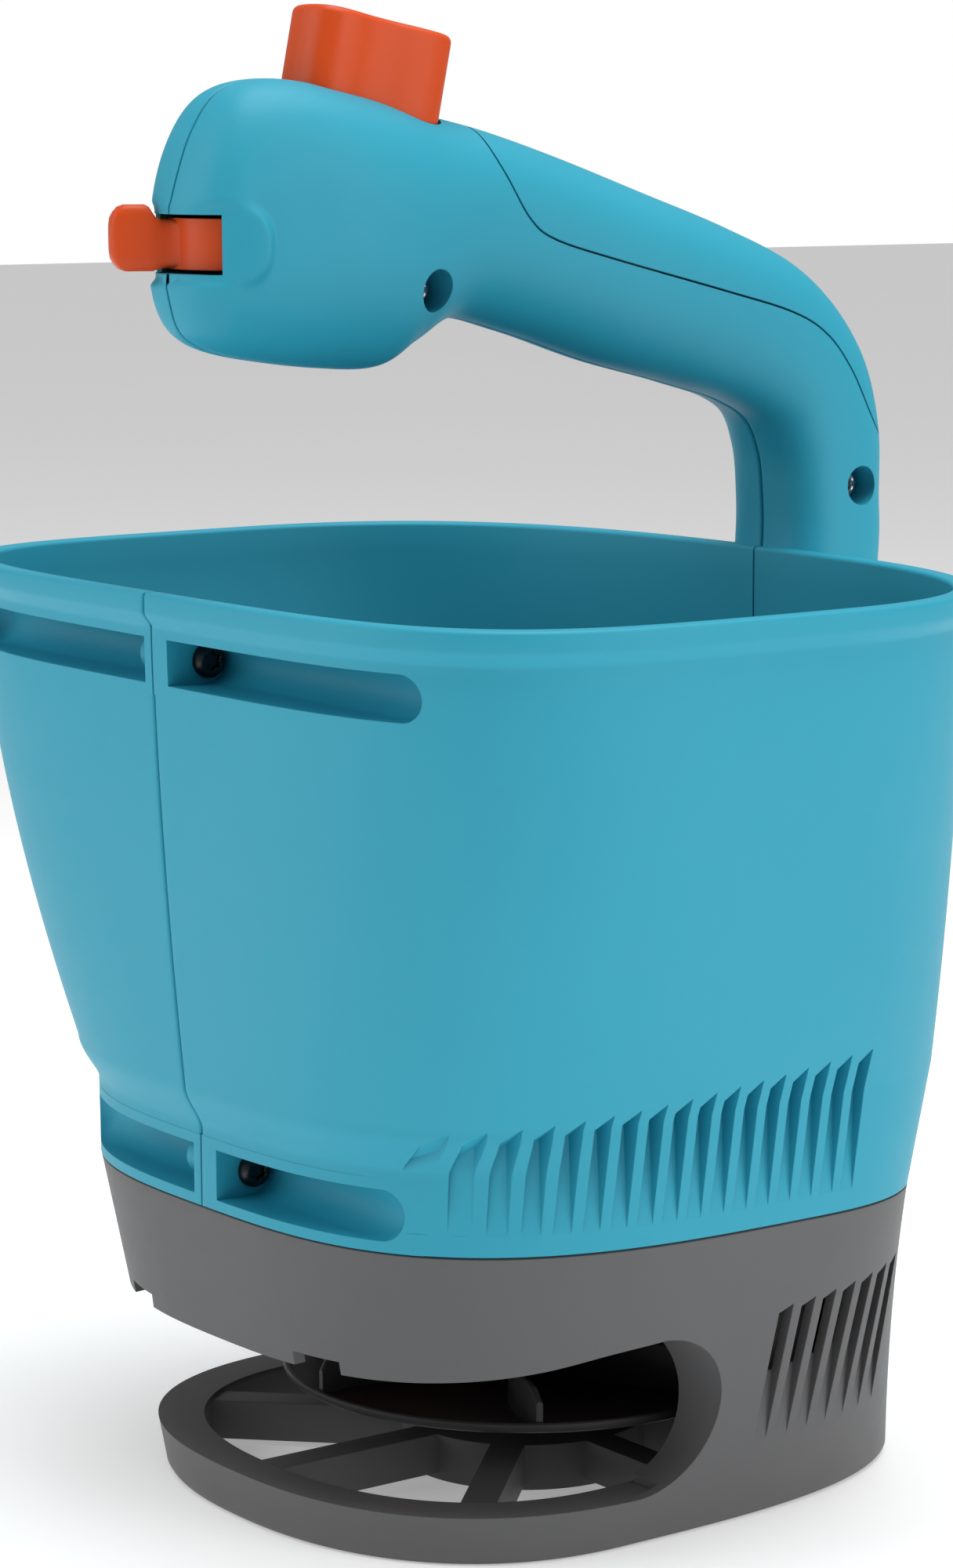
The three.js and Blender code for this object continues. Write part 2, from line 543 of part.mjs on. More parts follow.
const trayTop = -PACK.cell - GAP;
const trayEnd = packLength + 2 * PACK.wall + GAP;
const trayPart = (s0, s1, v0, v1) => box(-PACK.half, PACK.half, s0, s1, v0, v1);
const tray = join(trayPart(0, trayEnd, trayTop - PACK.tray, trayTop), trayPart(0, PACK.wall, trayTop - 0.5, 4),
  trayPart(trayEnd - PACK.wall, trayEnd, trayTop - 0.5, 4));
addToPack('battery_tray', tray, plastic(DARK));
const packStart = PACK.wall + GAP / 2;
const contactAt = { contact_front: packStart, contact_rear: packStart + packLength - PACK.contact };
Object.entries(contactAt).forEach(([name, s]) => {
  addToPack(name, box(-PACK.half + 1, PACK.half - 1, s, s + PACK.contact, trayTop + GAP, 5), metal(0xc9c4b4));
});
[-1, 1].forEach((side) => [0, 1].forEach((row) => {
  const start = packStart + PACK.contact + PACK.gap + row * (PACK.length + PACK.nubH + PACK.gap);
  const r = PACK.cell;
  const end = PACK.length;
  const profile = [[0, 0], [r, 0], [r, end], [PACK.nub, end],
    [PACK.nub, end + PACK.nubH], [0, end + PACK.nubH]].map(([x, y]) => new THREE.Vector2(x, y));
  const cell = new THREE.LatheGeometry(profile, 14).translate(side * PACK.x, start, 0);
  addToPack(`cell_${side < 0 ? 'left' : 'right'}_${row + 1}`, solid(cell), metal(0x8d9094, 0.4));
}));

// Base: outer walls drawn in from the joint to the foot, hollowed from above.
const BASE_LEVELS = [1.5, 12.5, 46, BASE.top];
function baseRings(inset, levels) {
  return levels.map((z) => planRing(mixPlan(FOOT, JOINT, z / JOINT.z), -inset, z));
}
const baseOuter = loft([planRing(FOOT, -1.2, 0), ...baseRings(0, BASE_LEVELS)]);
const baseRoom = loft(baseRings(BASE.wall, [BASE.floor, 12.5, 46, BASE.top + 2]));

function windowShape() {
  const low = BASE.ringTop;
  const edge = new THREE.SplineCurve(SKIRT_EDGE.map(([y, z]) => new THREE.Vector2(y, z))).getPoints(8);
  const shape = new THREE.Shape(edge);
  const last = edge[edge.length - 1];
  const radius = (last.y - low) / 2;
  shape.absarc(WINDOW_END - radius, low + radius, radius, Math.PI / 2, -Math.PI / 2, true);
  shape.lineTo(-130, low);
  return shape;
}

function guardRing() {
  const plan = { ...FOOT, a: FOOT.a - BASE.rim, f: FOOT.f - BASE.rim, r: BASE.rear - FOOT.y0, nr: 2 };
  const hole = planRing(plan, 0, 0, 40);
  const shape = new THREE.Shape(hole.map((p) => new THREE.Vector2(p.x, p.y)));
  const opening = slab(shape, -1, BASE.ringTop + 1);
  const spokes = [];
  for (let i = 0; i < BASE.spokes / 2; i += 1) {
    const bar = new THREE.BoxGeometry(2 * 90, BASE.spokeW, BASE.ringTop - 1 - BASE.spokeZ);
    bar.translate(0, 0, (BASE.ringTop - 1 + BASE.spokeZ) / 2).rotateZ((i / BASE.spokes) * 2 * Math.PI);
    spokes.push(solid(bar));
  }
  const wheel = join(barrel(BASE.hub, 0, BASE.ringTop - 1), ...spokes);
  return opening.subtract(wheel);
}

// Hollow of the column: between the outer wall and the deflector that wraps the spinner.
const throwR = SPINNER.r + BASE.throwGap;
const chamber = barrel(throwR, BASE.ringTop, BASE.top + 1, 0, 0, 48);
const deflector = barrel(throwR + BASE.deflector, 0, BASE.deck, 0, 0, 48);
const within = (y0, y1, z0, z1) => baseRoom.intersect(box(-FAR, FAR, y0, y1, z0, z1));
const columnRoom = within(WINDOW_END + BASE.wall, FAR, BASE.floor, BASE.deck).subtract(deflector);
const skirtRoom = within(-FAR, FAR, BASE.deck - 0.1, FAR);
const frontRoom = within(-FAR, WINDOW_END - 12, BASE.ringTop, BASE.deck);
const windowCut = slabX(windowShape(), -FAR, FAR, 6);
let base = cut(baseOuter, skirtRoom, columnRoom, frontRoom, chamber, windowCut, guardRing());
const baseLayer = (inset) => loft(baseRings(inset, [0, ...BASE_LEVELS]));
const louvreSkin = baseLayer(-1).subtract(baseLayer(BASE.wall + 0.8));
base = cut(base, flutes(LOUVRE).intersect(louvreSkin));
[-1, 1].forEach((side) => {
  const xs = [side * NOTCH.x0, side * NOTCH.x1].sort((p, q) => p - q);
  base = base.subtract(box(xs[0], xs[1], -130, -60, 40, SKIRT_EDGE[0][1] + NOTCH.h));
});
// Access holes for the screwdriver in the column's floor.
BOSSES.filter(([, y]) => y > 0).forEach(([x, y]) => [-1, 1].forEach((side) => {
  base = base.subtract(barrel(SCREW.head + 0.6, -1, BASE.floor + 1, side * x, y, 12));
}));
function baseBosses() {
  const made = [];
  BOSSES.forEach(([x, y]) => [-1, 1].forEach((side) => {
    const post = barrel(BOSS.r, BOSS.base, BASE.top, side * x, y, 16);
    const rib = sideways(side, x, y, BOSS.rib / 2, BOSS.base, BASE.top);
    const bore = barrel(BORE, BOSS.base - 1, BASE.top + 1, side * x, y, 12);
    made.push([join(post, rib.intersect(loft(baseRings(BASE.wall / 2, [46, BASE.top])))), bore]);
  }));
  return made;
}
baseBosses().forEach(([post, bore]) => { base = base.add(post).subtract(bore); });
// The louvres' feather edges leave specks behind; the moulding is the one large body.
const moulding = base.decompose().sort((p, q) => q.volume() - p.volume())[0];
add('base_frame', moulding, plastic(GREY));

// Hopper floor: a funnel that hangs on the collar's wall, with one outlet port.
const circle = (r) => ({ y0: 0, a: r, f: r, r, nf: 2, nr: 2 });
const floorUnder = FLOOR.top - FLOOR.thick;
const edgeFit = -WALL - GAP;
let hopperFloor = loft([planRing(circle(FLOOR.lipR + 2), 0, floorUnder),
  planRing(JOINT, edgeFit, FLOOR.edge - FLOOR.thick), planRing(JOINT, edgeFit, FLOOR.edge)]);
const funnel = loft([planRing(circle(FLOOR.lipR), 0, FLOOR.top),
  planRing(JOINT, edgeFit - 2, FLOOR.edge + 0.1)]);
hopperFloor = cut(hopperFloor, funnel, barrel(FLOOR.port, 60, 90, 0, FLOOR.portR, 24));
BOSSES.forEach(([x, y]) => [-1, 1].forEach((side) => {
  const notch = BOSS.r + GAP + 0.1;
  const post = barrel(notch, DOSER.z, FLOOR.edge + 4, side * x, y, 20);
  hopperFloor = cut(hopperFloor, post, sideways(side, x, y, notch, DOSER.z, FLOOR.edge + 4));
}));
POCKETS.forEach((pocket) => {
  const room = { ...pocket, z0: floorUnder, z1: FLOOR.edge + 1, floor: pocket.floor + GAP };
  hopperFloor = cut(hopperFloor, pocketWall(room));
});
add('hopper_floor', hopperFloor, plastic(DARK));

// Dosing ring: turns under the floor, its window swings over the port.
const windowTurn = THREE.MathUtils.degToRad(90 - DOSER.travel);
const doser = cut(barrel(DOSER.rOut, DOSER.z, DOSER.z + DOSER.thick, 0, 0, 40),
  barrel(DOSER.rIn, 70, 80, 0, 0, 32),
  barrel(FLOOR.port, 70, 80, FLOOR.portR * Math.cos(windowTurn), FLOOR.portR * Math.sin(windowTurn), 24));
add('dosing_ring', doser, plastic(ORANGE));

// Motor pod, motor and shaft.
const podFlange = barrel(POD.flange, POD.flangeZ, POD.flangeZ + POD.flangeT, 0, 0, 32);
const podBody = barrel(POD.r, POD.z0, floorUnder - GAP, 0, 0, 32);
const podRoom = barrel(POD.r - POD.wall, POD.z0 + POD.floor, 90, 0, 0, 32);
const wireSlot = box(-7, 7, POD.r + 0.6, POD.flange + 2, 60, 76);
const pod = cut(join(podBody, podFlange), podRoom, barrel(MOTOR.nose + 0.6, 30, 50, 0, 0, 20), wireSlot);
add('motor_pod', pod, plastic(GREY));
const can = join(barrel(MOTOR.r, MOTOR.z0 + 1, MOTOR.z1, 0, 0, 28),
  barrel(MOTOR.nose, MOTOR.z0 - 2, MOTOR.z0 + 2, 0, 0, 20));
const shaftHole = barrel(SHAFT.r + 0.1, 30, SHAFT.z1 + 6, 0, 0, 16);
add('motor', can.subtract(shaftHole), metal(0x9fa2a5, 0.3));
add('motor_shaft', barrel(SHAFT.r, SHAFT.z0, SHAFT.z1 + 5, 0, 0, 16), metal(0xc4c6c8, 0.25));

// Spinner: a shallow dish with vanes round a hub.
const { edgeZ, dish, thick, hub, hubTop, r: discR } = SPINNER;
const dishProfile = [[0, edgeZ - dish - thick], [hub + 2, edgeZ - dish - thick], [discR - 1, edgeZ - thick],
  [discR, edgeZ - thick + 0.7],
  [discR, edgeZ], [hub + 2, edgeZ - dish], [hub, edgeZ - dish + 1], [hub - 1, hubTop], [0, hubTop]];
const dishPoints = dishProfile.map(([x, y]) => new THREE.Vector2(x, y));
let spinner = solid(new THREE.LatheGeometry(dishPoints, 40).rotateX(Math.PI / 2));
for (let i = 0; i < SPINNER.vanes; i += 1) {
  const vane = new THREE.BoxGeometry(discR - hub - 1.5, SPINNER.vaneT, SPINNER.vaneH + dish);
  vane.translate((discR + hub - 1.5) / 2, 0, edgeZ - 0.6 + (SPINNER.vaneH - dish) / 2);
  vane.rotateZ((i / SPINNER.vanes + SPINNER.turn) * 2 * Math.PI);
  spinner = spinner.add(solid(vane));
}
add('spinner_disc', spinner.subtract(barrel(SHAFT.r + 0.1, 10, 50, 0, 0, 16)), plastic(DARK));

// Screws, all of one kind: pan head with a recess, and a plain shank.
function screwGeometry(length) {
  const { head, headH, shank, recess } = SCREW;
  const profile = [[0, headH - 1.2], [recess, headH], [head - 1, headH], [head, 0],
    [shank, 0], [shank, -length], [0, -length]].map(([x, y]) => new THREE.Vector2(x, y));
  return new THREE.LatheGeometry(profile.reverse(), 10);
}

function addScrew(name, length, seat, direction, color = DARK) {
  const screw = add(name, geometryOf(solid(screwGeometry(length))), metal(color, 0.45));
  screw.position.copy(seat);
  screw.quaternion.setFromUnitVectors(new THREE.Vector3(0, 1, 0), direction);
}

const alongX = new THREE.Vector3(1, 0, 0);
POCKETS.forEach(({ z0, z1, floor }, i) => {
  const seat = new THREE.Vector3(POCKET.web + GAP, pocketAxis(floor), (z0 + z1) / 2);
  addScrew(`screw_front_${i + 1}`, SCREW.length + 1, seat, alongX);
});
const SEATED = ['screw_head', 'screw_post', 'screw_spine_1', 'screw_spine_2'];
seatedScrews().forEach(({ y, z }, i) => {
  addScrew(SEATED[i], SCREW.length, new THREE.Vector3(SEAT_X + GAP, y, z), alongX, ZINC);
});
BOSSES.forEach(([x, y], i) => [-1, 1].forEach((side) => {
  const length = BASE.top - BOSS.base + 8;
  const seat = new THREE.Vector3(side * x, y, BOSS.base - GAP);
  addScrew(`screw_base_${side < 0 ? 'left' : 'right'}_${i + 1}`, length, seat, new THREE.Vector3(0, 0, -1));
}));

export default object;
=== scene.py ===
# Hand-held battery spreader: a teal two-shell hopper with an arched handle, orange push button and
# rate lever, and a grey base with a spinning disc behind a spoked guard ring. Sizes are millimetres
# in the part's own frame, and every mesh is written in metres.
import math

import bpy
import numpy as np
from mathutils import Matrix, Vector


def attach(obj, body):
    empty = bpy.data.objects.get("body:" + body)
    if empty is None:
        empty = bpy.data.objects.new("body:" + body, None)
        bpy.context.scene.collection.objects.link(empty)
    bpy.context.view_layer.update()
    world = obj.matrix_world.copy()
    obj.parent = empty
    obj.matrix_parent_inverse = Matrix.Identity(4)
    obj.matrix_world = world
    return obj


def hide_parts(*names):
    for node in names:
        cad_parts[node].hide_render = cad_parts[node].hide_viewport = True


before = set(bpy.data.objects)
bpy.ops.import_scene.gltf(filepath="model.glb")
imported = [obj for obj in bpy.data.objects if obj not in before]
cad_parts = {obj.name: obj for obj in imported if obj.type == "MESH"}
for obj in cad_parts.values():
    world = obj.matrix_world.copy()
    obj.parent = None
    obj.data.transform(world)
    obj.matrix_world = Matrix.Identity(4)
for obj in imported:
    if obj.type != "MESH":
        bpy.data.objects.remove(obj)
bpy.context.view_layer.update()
scene = bpy.context.scene
scene.view_settings.view_transform = "Standard"
MM = 0.001

# ---------------------------------------------------------------- studio
# A pale floor, a pale room, two tall soft boxes left and right of the camera and one overhead.
# The object stands on the floor, and nothing here belongs to it.


def srgb(code):
    """Linear colour of an sRGB hex value, with full alpha."""
    parts = [int(code[i:i + 2], 16) / 255 for i in (1, 3, 5)]
    return [c / 12.92 if c <= 0.04045 else ((c + 0.055) / 1.055) ** 2.4 for c in parts] + [1.0]


def new_material(name):
    material = bpy.data.materials.new(name)
    material.use_nodes = True
    shader = material.node_tree.nodes["Principled BSDF"]
    return material, material.node_tree, shader


def add_node(tree, kind, links=(), **settings):
    """Adds a node, sets its properties or sockets by name, and links (socket, output) pairs into it."""
    node = tree.nodes.new(kind)
    for key, value in settings.items():
        if hasattr(node, key):
            setattr(node, key, value)
        else:
            node.inputs[key.replace("_", " ")].default_value = value
    for socket, output in links:
        tree.links.new(output, node.inputs[socket])
    return node


FLOOR_SIZE = 16.0
# The sockets of a Mix node that is set to colours.
COLOUR_A, COLOUR_B, COLOUR_OUT = 6, 7, 2
# Seamless white paper, uncoated: fully matt, with a drift in tone a third of a metre wide.
paper, paper_tree, paper_shader = new_material("seamless_paper")
paper_place = add_node(paper_tree, "ShaderNodeTexCoord").outputs["Object"]
paper_noise = add_node(paper_tree, "ShaderNodeTexNoise", [("Vector", paper_place)], Scale=3.0)
paper_drift = [("Factor", paper_noise.outputs["Fac"])]
paper_tone = add_node(paper_tree, "ShaderNodeMix", paper_drift, data_type="RGBA")
paper_tone.inputs[COLOUR_A].default_value = srgb("#F1F1F1")
paper_tone.inputs[COLOUR_B].default_value = srgb("#F5F5F5")
paper_tree.links.new(paper_tone.outputs[COLOUR_OUT], paper_shader.inputs["Base Color"])
paper_shader.inputs["Roughness"].default_value = 0.9
paper_shader.inputs["Emission Color"].default_value = srgb("#FFFFFF")
paper_shader.inputs["Emission Strength"].default_value = 0.3
bpy.ops.mesh.primitive_plane_add(size=FLOOR_SIZE)
floor = bpy.context.object
floor.name = "floor"
floor.data.materials.append(paper)

room = bpy.data.worlds.new("room")
scene.world = room
room.use_nodes = True
backdrop = room.node_tree.nodes["Background"]
backdrop.inputs["Color"].default_value = srgb("#FFFFFF")
seen = add_node(room.node_tree, "ShaderNodeLightPath")
glow = add_node(room.node_tree, "ShaderNodeMapRange", [("Value", seen.outputs["Is Camera Ray"])],
                To_Min=0.3, To_Max=1.0)
room.node_tree.links.new(glow.outputs["Result"], backdrop.inputs["Strength"])


def soft_box(name, place, target, width, height, watts):
    """A rectangular lamp at place that faces target, in metres."""
    light = bpy.data.lights.new(name, "AREA")
    light.shape = "RECTANGLE"
    light.size, light.size_y, light.energy = width, height, watts
    lamp = bpy.data.objects.new(name, light)
    scene.collection.objects.link(lamp)
    lamp.location = place
    lamp.rotation_euler = (Vector(target) - Vector(place)).to_track_quat("-Z", "Y").to_euler()
    return lamp


OBJECT_MIDDLE = (0, 0, 0.18)
soft_box("box_left", (-0.75, -1.35, 0.75), OBJECT_MIDDLE, width=0.9, height=1.3, watts=7.5)
soft_box("box_right", (1.55, 0.55, 0.7), OBJECT_MIDDLE, width=0.9, height=1.3, watts=9)
soft_box("box_top", (0.15, 0.1, 1.6), (0, 0, 0.2), width=1.3, height=1.3, watts=21)

CAMERA_AZIMUTH, CAMERA_ELEVATION, CAMERA_DISTANCE = 53.13, 11.35, 1072.15
CAMERA_TARGET = (0, 3.4, 120)
camera_data = bpy.data.cameras.new("camera")
camera_data.lens = 99.16
camera_data.sensor_width = 36
camera_data.shift_x = -0.0381
camera_data.shift_y = 0.1287
camera = bpy.data.objects.new("camera", camera_data)
scene.collection.objects.link(camera)
scene.camera = camera
azimuth, elevation = math.radians(CAMERA_AZIMUTH), math.radians(CAMERA_ELEVATION)
level_reach = math.cos(elevation)
toward = Vector((math.sin(azimuth) * level_reach, -math.cos(azimuth) * level_reach, math.sin(elevation)))
camera.location = (Vector(CAMERA_TARGET) + toward * CAMERA_DISTANCE) * MM
camera.rotation_euler = toward.to_track_quat("Z", "Y").to_euler()

# ---------------------------------------------------------------- hopper half shells
# Two polypropylene mouldings that meet at X = 0: an open bin with a proud rim band, a ledge over a
# recessed collar, screw troughs in front and louvre-like fins along both sides.
RIM = dict(z=225, y0=-10, a=124.5, f=99, r=87, nf=4.2, nr=2.8)
JOINT = dict(z=79, y0=10, a=95.5, f=105.5, r=62, nf=3.1, nr=3.0)
WALL = 2.6
SEAM = 0.3
SEAM_ROUND = 0.7
BAND_HEIGHT, BAND_PROUD, BAND_FILLET = 7.5, 2.2, 3.2
COLLAR_TOP, LEDGE_TOP, LEDGE, BULGE = 98, 109, 4.6, 1.6
BAND_Z = RIM["z"] - BAND_HEIGHT
STATIONS = 230


def mesh_object(name, points, faces):
    mesh = bpy.data.meshes.new(name)
    mesh.from_pydata((np.asarray(points, float) * MM).tolist(), [], faces)
    mesh.validate()
    piece = bpy.data.objects.new(name, mesh)
    scene.collection.objects.link(piece)
    return piece


def loft(name, rings):
    """A closed solid skinned over rings with equal numbers of points, capped at both ends."""
    rings = np.asarray(rings, float)
    rows, count = rings.shape[:2]
    points = rings.reshape(-1, 3)
    faces = []
    for i in range(rows - 1):
        for j in range(count):
            k = (j + 1) % count
            faces.append((i * count + j, i * count + k, (i + 1) * count + k, (i + 1) * count + j))
    faces.append(tuple(reversed(range(count))))
    faces.append(tuple(range((rows - 1) * count, rows * count)))
    a, b, c = (points[[f[n] for f in faces[:-2]]] for n in (0, 1, 2))
    d = points[[f[3] for f in faces[:-2]]]
    volume = (np.einsum("ij,ij->i", a, np.cross(b, c)) + np.einsum("ij,ij->i", a, np.cross(c, d))).sum()
    for ring, sign in ((rings[0], -1), (rings[-1], 1)):
        for j in range(1, count - 1):
            volume += sign * np.dot(ring[0], np.cross(ring[j], ring[j + 1]))
    if volume < 0:
        faces = [tuple(reversed(f)) for f in faces]
    return mesh_object(name, points, faces)


def boolean(piece, tool, operation="DIFFERENCE", keep_tool=False):
    modifier = piece.modifiers.new("boolean", "BOOLEAN")
    modifier.object, modifier.operation, modifier.solver = tool, operation, "MANIFOLD"
    graph = bpy.context.evaluated_depsgraph_get()
    made = bpy.data.meshes.new_from_object(piece.evaluated_get(graph))
    piece.modifiers.clear()
    piece.data = made
    if not keep_tool:
        bpy.data.objects.remove(tool)
    return piece


def block(name, x, y, z):
    corners = [[[x[i], y[j], level] for i, j in ((0, 0), (1, 0), (1, 1), (0, 1))] for level in z]
    return loft(name, corners)


def prism(name, outline, low, high, axis="Z"):
    """Extrudes a list of 2-D points along Z, or along X when they are (y, z) points."""
    if axis == "Z":
        return loft(name, [[(u, v, level) for u, v in outline] for level in (low, high)])
    return loft(name, [[(level, u, v) for u, v in outline] for level in (low, high)])


def rod(name, radius, low, high, place=(0, 0), axis="Z", sides=64):
    turn = np.linspace(0, 2 * np.pi, sides, endpoint=False)
    outline = [(place[0] + radius * math.cos(t), place[1] + radius * math.sin(t)) for t in turn]
    return prism(name, outline, low, high, axis)


def mix(a, b, t):
    return a + (b - a) * t


def mix_plan(p, q, t):
    return {key: mix(p[key], q[key], t) for key in p}


def signed_power(value, exponent):
    return np.sign(value) * np.abs(value) ** exponent


def plan_points(plan, grow, angles):
    n = np.where(np.sin(angles) < 0, 2 / plan["nf"], 2 / plan["nr"])
    reach = np.where(np.sin(angles) < 0, plan["f"], plan["r"]) + grow
    x = signed_power(np.cos(angles), n) * (plan["a"] + grow)
    y = plan["y0"] + signed_power(np.sin(angles), n) * reach
    return np.stack([x, y], 1)


def even(points, count, closed=False):
    """Points spaced evenly along a polyline."""
    if closed:
        points = np.vstack([points, points[:1]])
    steps = np.r_[0, np.cumsum(np.linalg.norm(np.diff(points, axis=0), axis=1))]
    at = np.linspace(0, steps[-1], count + closed)[:count]
    return np.stack([np.interp(at, steps, points[:, k]) for k in range(points.shape[1])], 1)


def wall_at(z):
    """The plan of the outer wall at height z, below the rim band, and how far it is grown."""
    if z <= COLLAR_TOP:
        return JOINT, 0
    if z <= LEDGE_TOP:
        t = (z - COLLAR_TOP) / (LEDGE_TOP - COLLAR_TOP)
        return JOINT, LEDGE * (3 * t * t - 2 * t ** 3) ** 0.8
    t = 1 - (1 - (z - LEDGE_TOP) / (BAND_Z - LEDGE_TOP)) ** BULGE
    return mix_plan(JOINT, RIM, t), mix(LEDGE, -BAND_PROUD, t)


def ledge_share(y):
    """1 where the collar is fully recessed, at the front, falling to 0 along the sides."""
    t = np.clip((-45 - y) / 45, 0, 1)
    return t * t * (3 - 2 * t)


SEAM_TURN = np.radians([0, 30, 60, 90])


def seam_stations(line, count):
    """A polyline resampled evenly, with extra stations for the rounded edge at each end."""
    steps = np.r_[0, np.cumsum(np.linalg.norm(np.diff(line, axis=0), axis=1))]
    ends = SEAM_ROUND * (1 - np.cos(SEAM_TURN))[:-1]
    middle = np.linspace(SEAM_ROUND, steps[-1] - SEAM_ROUND, count)
    at = np.r_[ends, middle, steps[-1] - ends[::-1]]
    return np.stack([np.interp(at, steps, line[:, k]) for k in range(2)], 1)


def seam_inset(count):
    """How far each of those stations is drawn in."""
    ends = SEAM_ROUND * (1 - np.sin(SEAM_TURN))[:-1]
    return np.r_[ends, np.zeros(count), ends[::-1]]


def clip_at_seam(line, seam):
    """The part of a half outline with x above the seam, from one crossing to the other."""
    keep = np.flatnonzero(line[:, 0] > seam)
    line = line[max(keep[0] - 1, 0):keep[-1] + 2].copy()
    line[0, 0] = line[-1, 0] = seam
    return line


def half_plan(plan, grow):
    angles = np.linspace(-np.pi / 2, np.pi / 2, 3000)
    return seam_stations(clip_at_seam(plan_points(plan, grow, angles), SEAM), STATIONS)


def hopper_profile(pad):
    """(z, plan, grow) round the wall's section: up the outside, over the rim, down the inside."""
    outside = [(z, *wall_at(z)) for z in [JOINT["z"], 84, 90, 94, *np.linspace(97, 110, 14),
                                          *np.linspace(112.5, BAND_Z - 1, 42)]]
    plan, grow = wall_at(BAND_Z - 1)
    rise = BAND_FILLET + 1
    band = [(BAND_Z - 1 + rise * t, mix_plan(plan, RIM, t), mix(grow, 0, (3 - 2 * t) * t * t))
            for t in np.linspace(0.12, 1, 8)]
    turn = np.linspace(0, np.pi / 2, 6)
    lip, across = 1.0, BAND_PROUD + WALL
    top = [(RIM["z"] - lip + lip * math.sin(a), RIM, -lip + lip * math.cos(a)) for a in turn]
    top += [(RIM["z"] - lip + lip * math.cos(a), RIM, -across + lip - lip * math.sin(a)) for a in turn]
    inside = []
    for z in [*np.linspace(BAND_Z, 128, 34), *np.linspace(125, 110, 7), 100, 90, JOINT["z"]]:
        plan, grow = wall_at(z)
        inside.append((z, plan, grow - WALL - pad * min(max((PAD_TOP - z) / PAD_RISE, 0), 1)))
    return outside + band + top + inside, len(outside + band) + 3


def straighten(grid):
    """Takes the ledge out of the sides: between the joint and the ledge's top the wall runs straight."""
    grid = grid.copy()
    levels = grid[0, :, 2]
    for rows in (np.flatnonzero((np.arange(len(levels)) < len(levels) // 2) & (levels <= LEDGE_TOP)),
                 np.flatnonzero((np.arange(len(levels)) > len(levels) // 2) & (levels <= LEDGE_TOP + 1))):
        low, high = rows[np.argmin(levels[rows])], rows[np.argmax(levels[rows])]
        t = ((levels[rows] - levels[low]) / (levels[high] - levels[low]))[None, :, None]
        straight = mix(grid[:, [low]], grid[:, [high]], t)
        share = ledge_share(grid[:, rows, 1])[..., None]
        grid[:, rows, :2] = mix(straight, grid[:, rows], share)[..., :2]
    return grid


PAD, PAD_TOP, PAD_RISE = 4.6, 128, 14
HANDLE = [
    # y, z, lean, half height, half width, roundness
    (-101.4, 300, 0, 6, 5, 2.0), (-98.7, 300.5, 0, 16, 11.5, 2.3), (-94, 304.5, 0, 24, 16, 2.7),
    (-87, 307.5, 0, 29.5, 18.0, 3.0), (-76, 308, 0, 32, 20.4, 3.0), (-62, 306.5, 0, 32.2, 22.6, 2.8),
    (-48, 305, 0, 31, 22.3, 2.6), (-36, 305.5, 6, 27, 20.5, 2.5), (-20, 306.5, 14, 22.4, 18.4, 2.5),
    (0, 301.5, 17, 21.6, 17.6, 2.5), (25, 293.5, 18, 21.4, 17.5, 2.5), (50, 286.2, 20, 20.4, 17.4, 2.5),
    (70, 278.5, 34, 19.4, 17.4, 2.6), (83, 267, 58, 17.6, 17.4, 2.8), (88.5, 253, 78, 16.2, 17.4, 3.0),
    (89.6, 238, 90, 15.2, 17.5, 3.0), (89.5, 222, 90, 15.2, 17.8, 3.0), (85.5, 180, 95, 15, 18, 3.0),
    (78.5, 130, 98, 14, 18, 3.0), (68, 84, 90, 12, 18, 3.0),
]
HEAD_ROWS = 7.0
HEAD_STEPS, GRIP_STEPS, AROUND = 110, 90, 84
SLIMMEST = 1.5
LEVER_Y, LEVER_LOW, LEVER_HIGH, LEVER_RADIUS = -79, 297.5, 309, 18
BAND_MIDDLE, BAND_HALF, BAND_RADIUS, BAND_END, BAND_CORNER = 303.25, 8.7, 21.2, 27.0, 2.4


def catmull(p0, p1, p2, p3, u):
    """A point at share u between p1 and p2 on the Catmull-Rom curve through four points."""
    bend = 2 * p0 - 5 * p1 + 4 * p2 - p3 + u * (3 * (p1 - p2) + p3 - p0)
    return p1 + 0.5 * u * (p2 - p0 + u * bend)


def handle_row(t):
    """A section of the handle between the rows of the table."""
    last = len(HANDLE) - 1
    i = min(int(t), last - 1)
    rows = [np.array(HANDLE[max(0, min(last, k))], float) for k in (i - 1, i, i + 1, i + 2)]
    return catmull(*rows, t - i)


def handle_steps(start, end):
    """Places along the table, closer together over the head than over the grip."""
    head = np.linspace(0, HEAD_ROWS, HEAD_STEPS, endpoint=False)
    grip = np.linspace(HEAD_ROWS, len(HANDLE) - 1, GRIP_STEPS)
    steps = np.r_[head, grip]
    return steps[(steps >= start) & (steps <= end)]


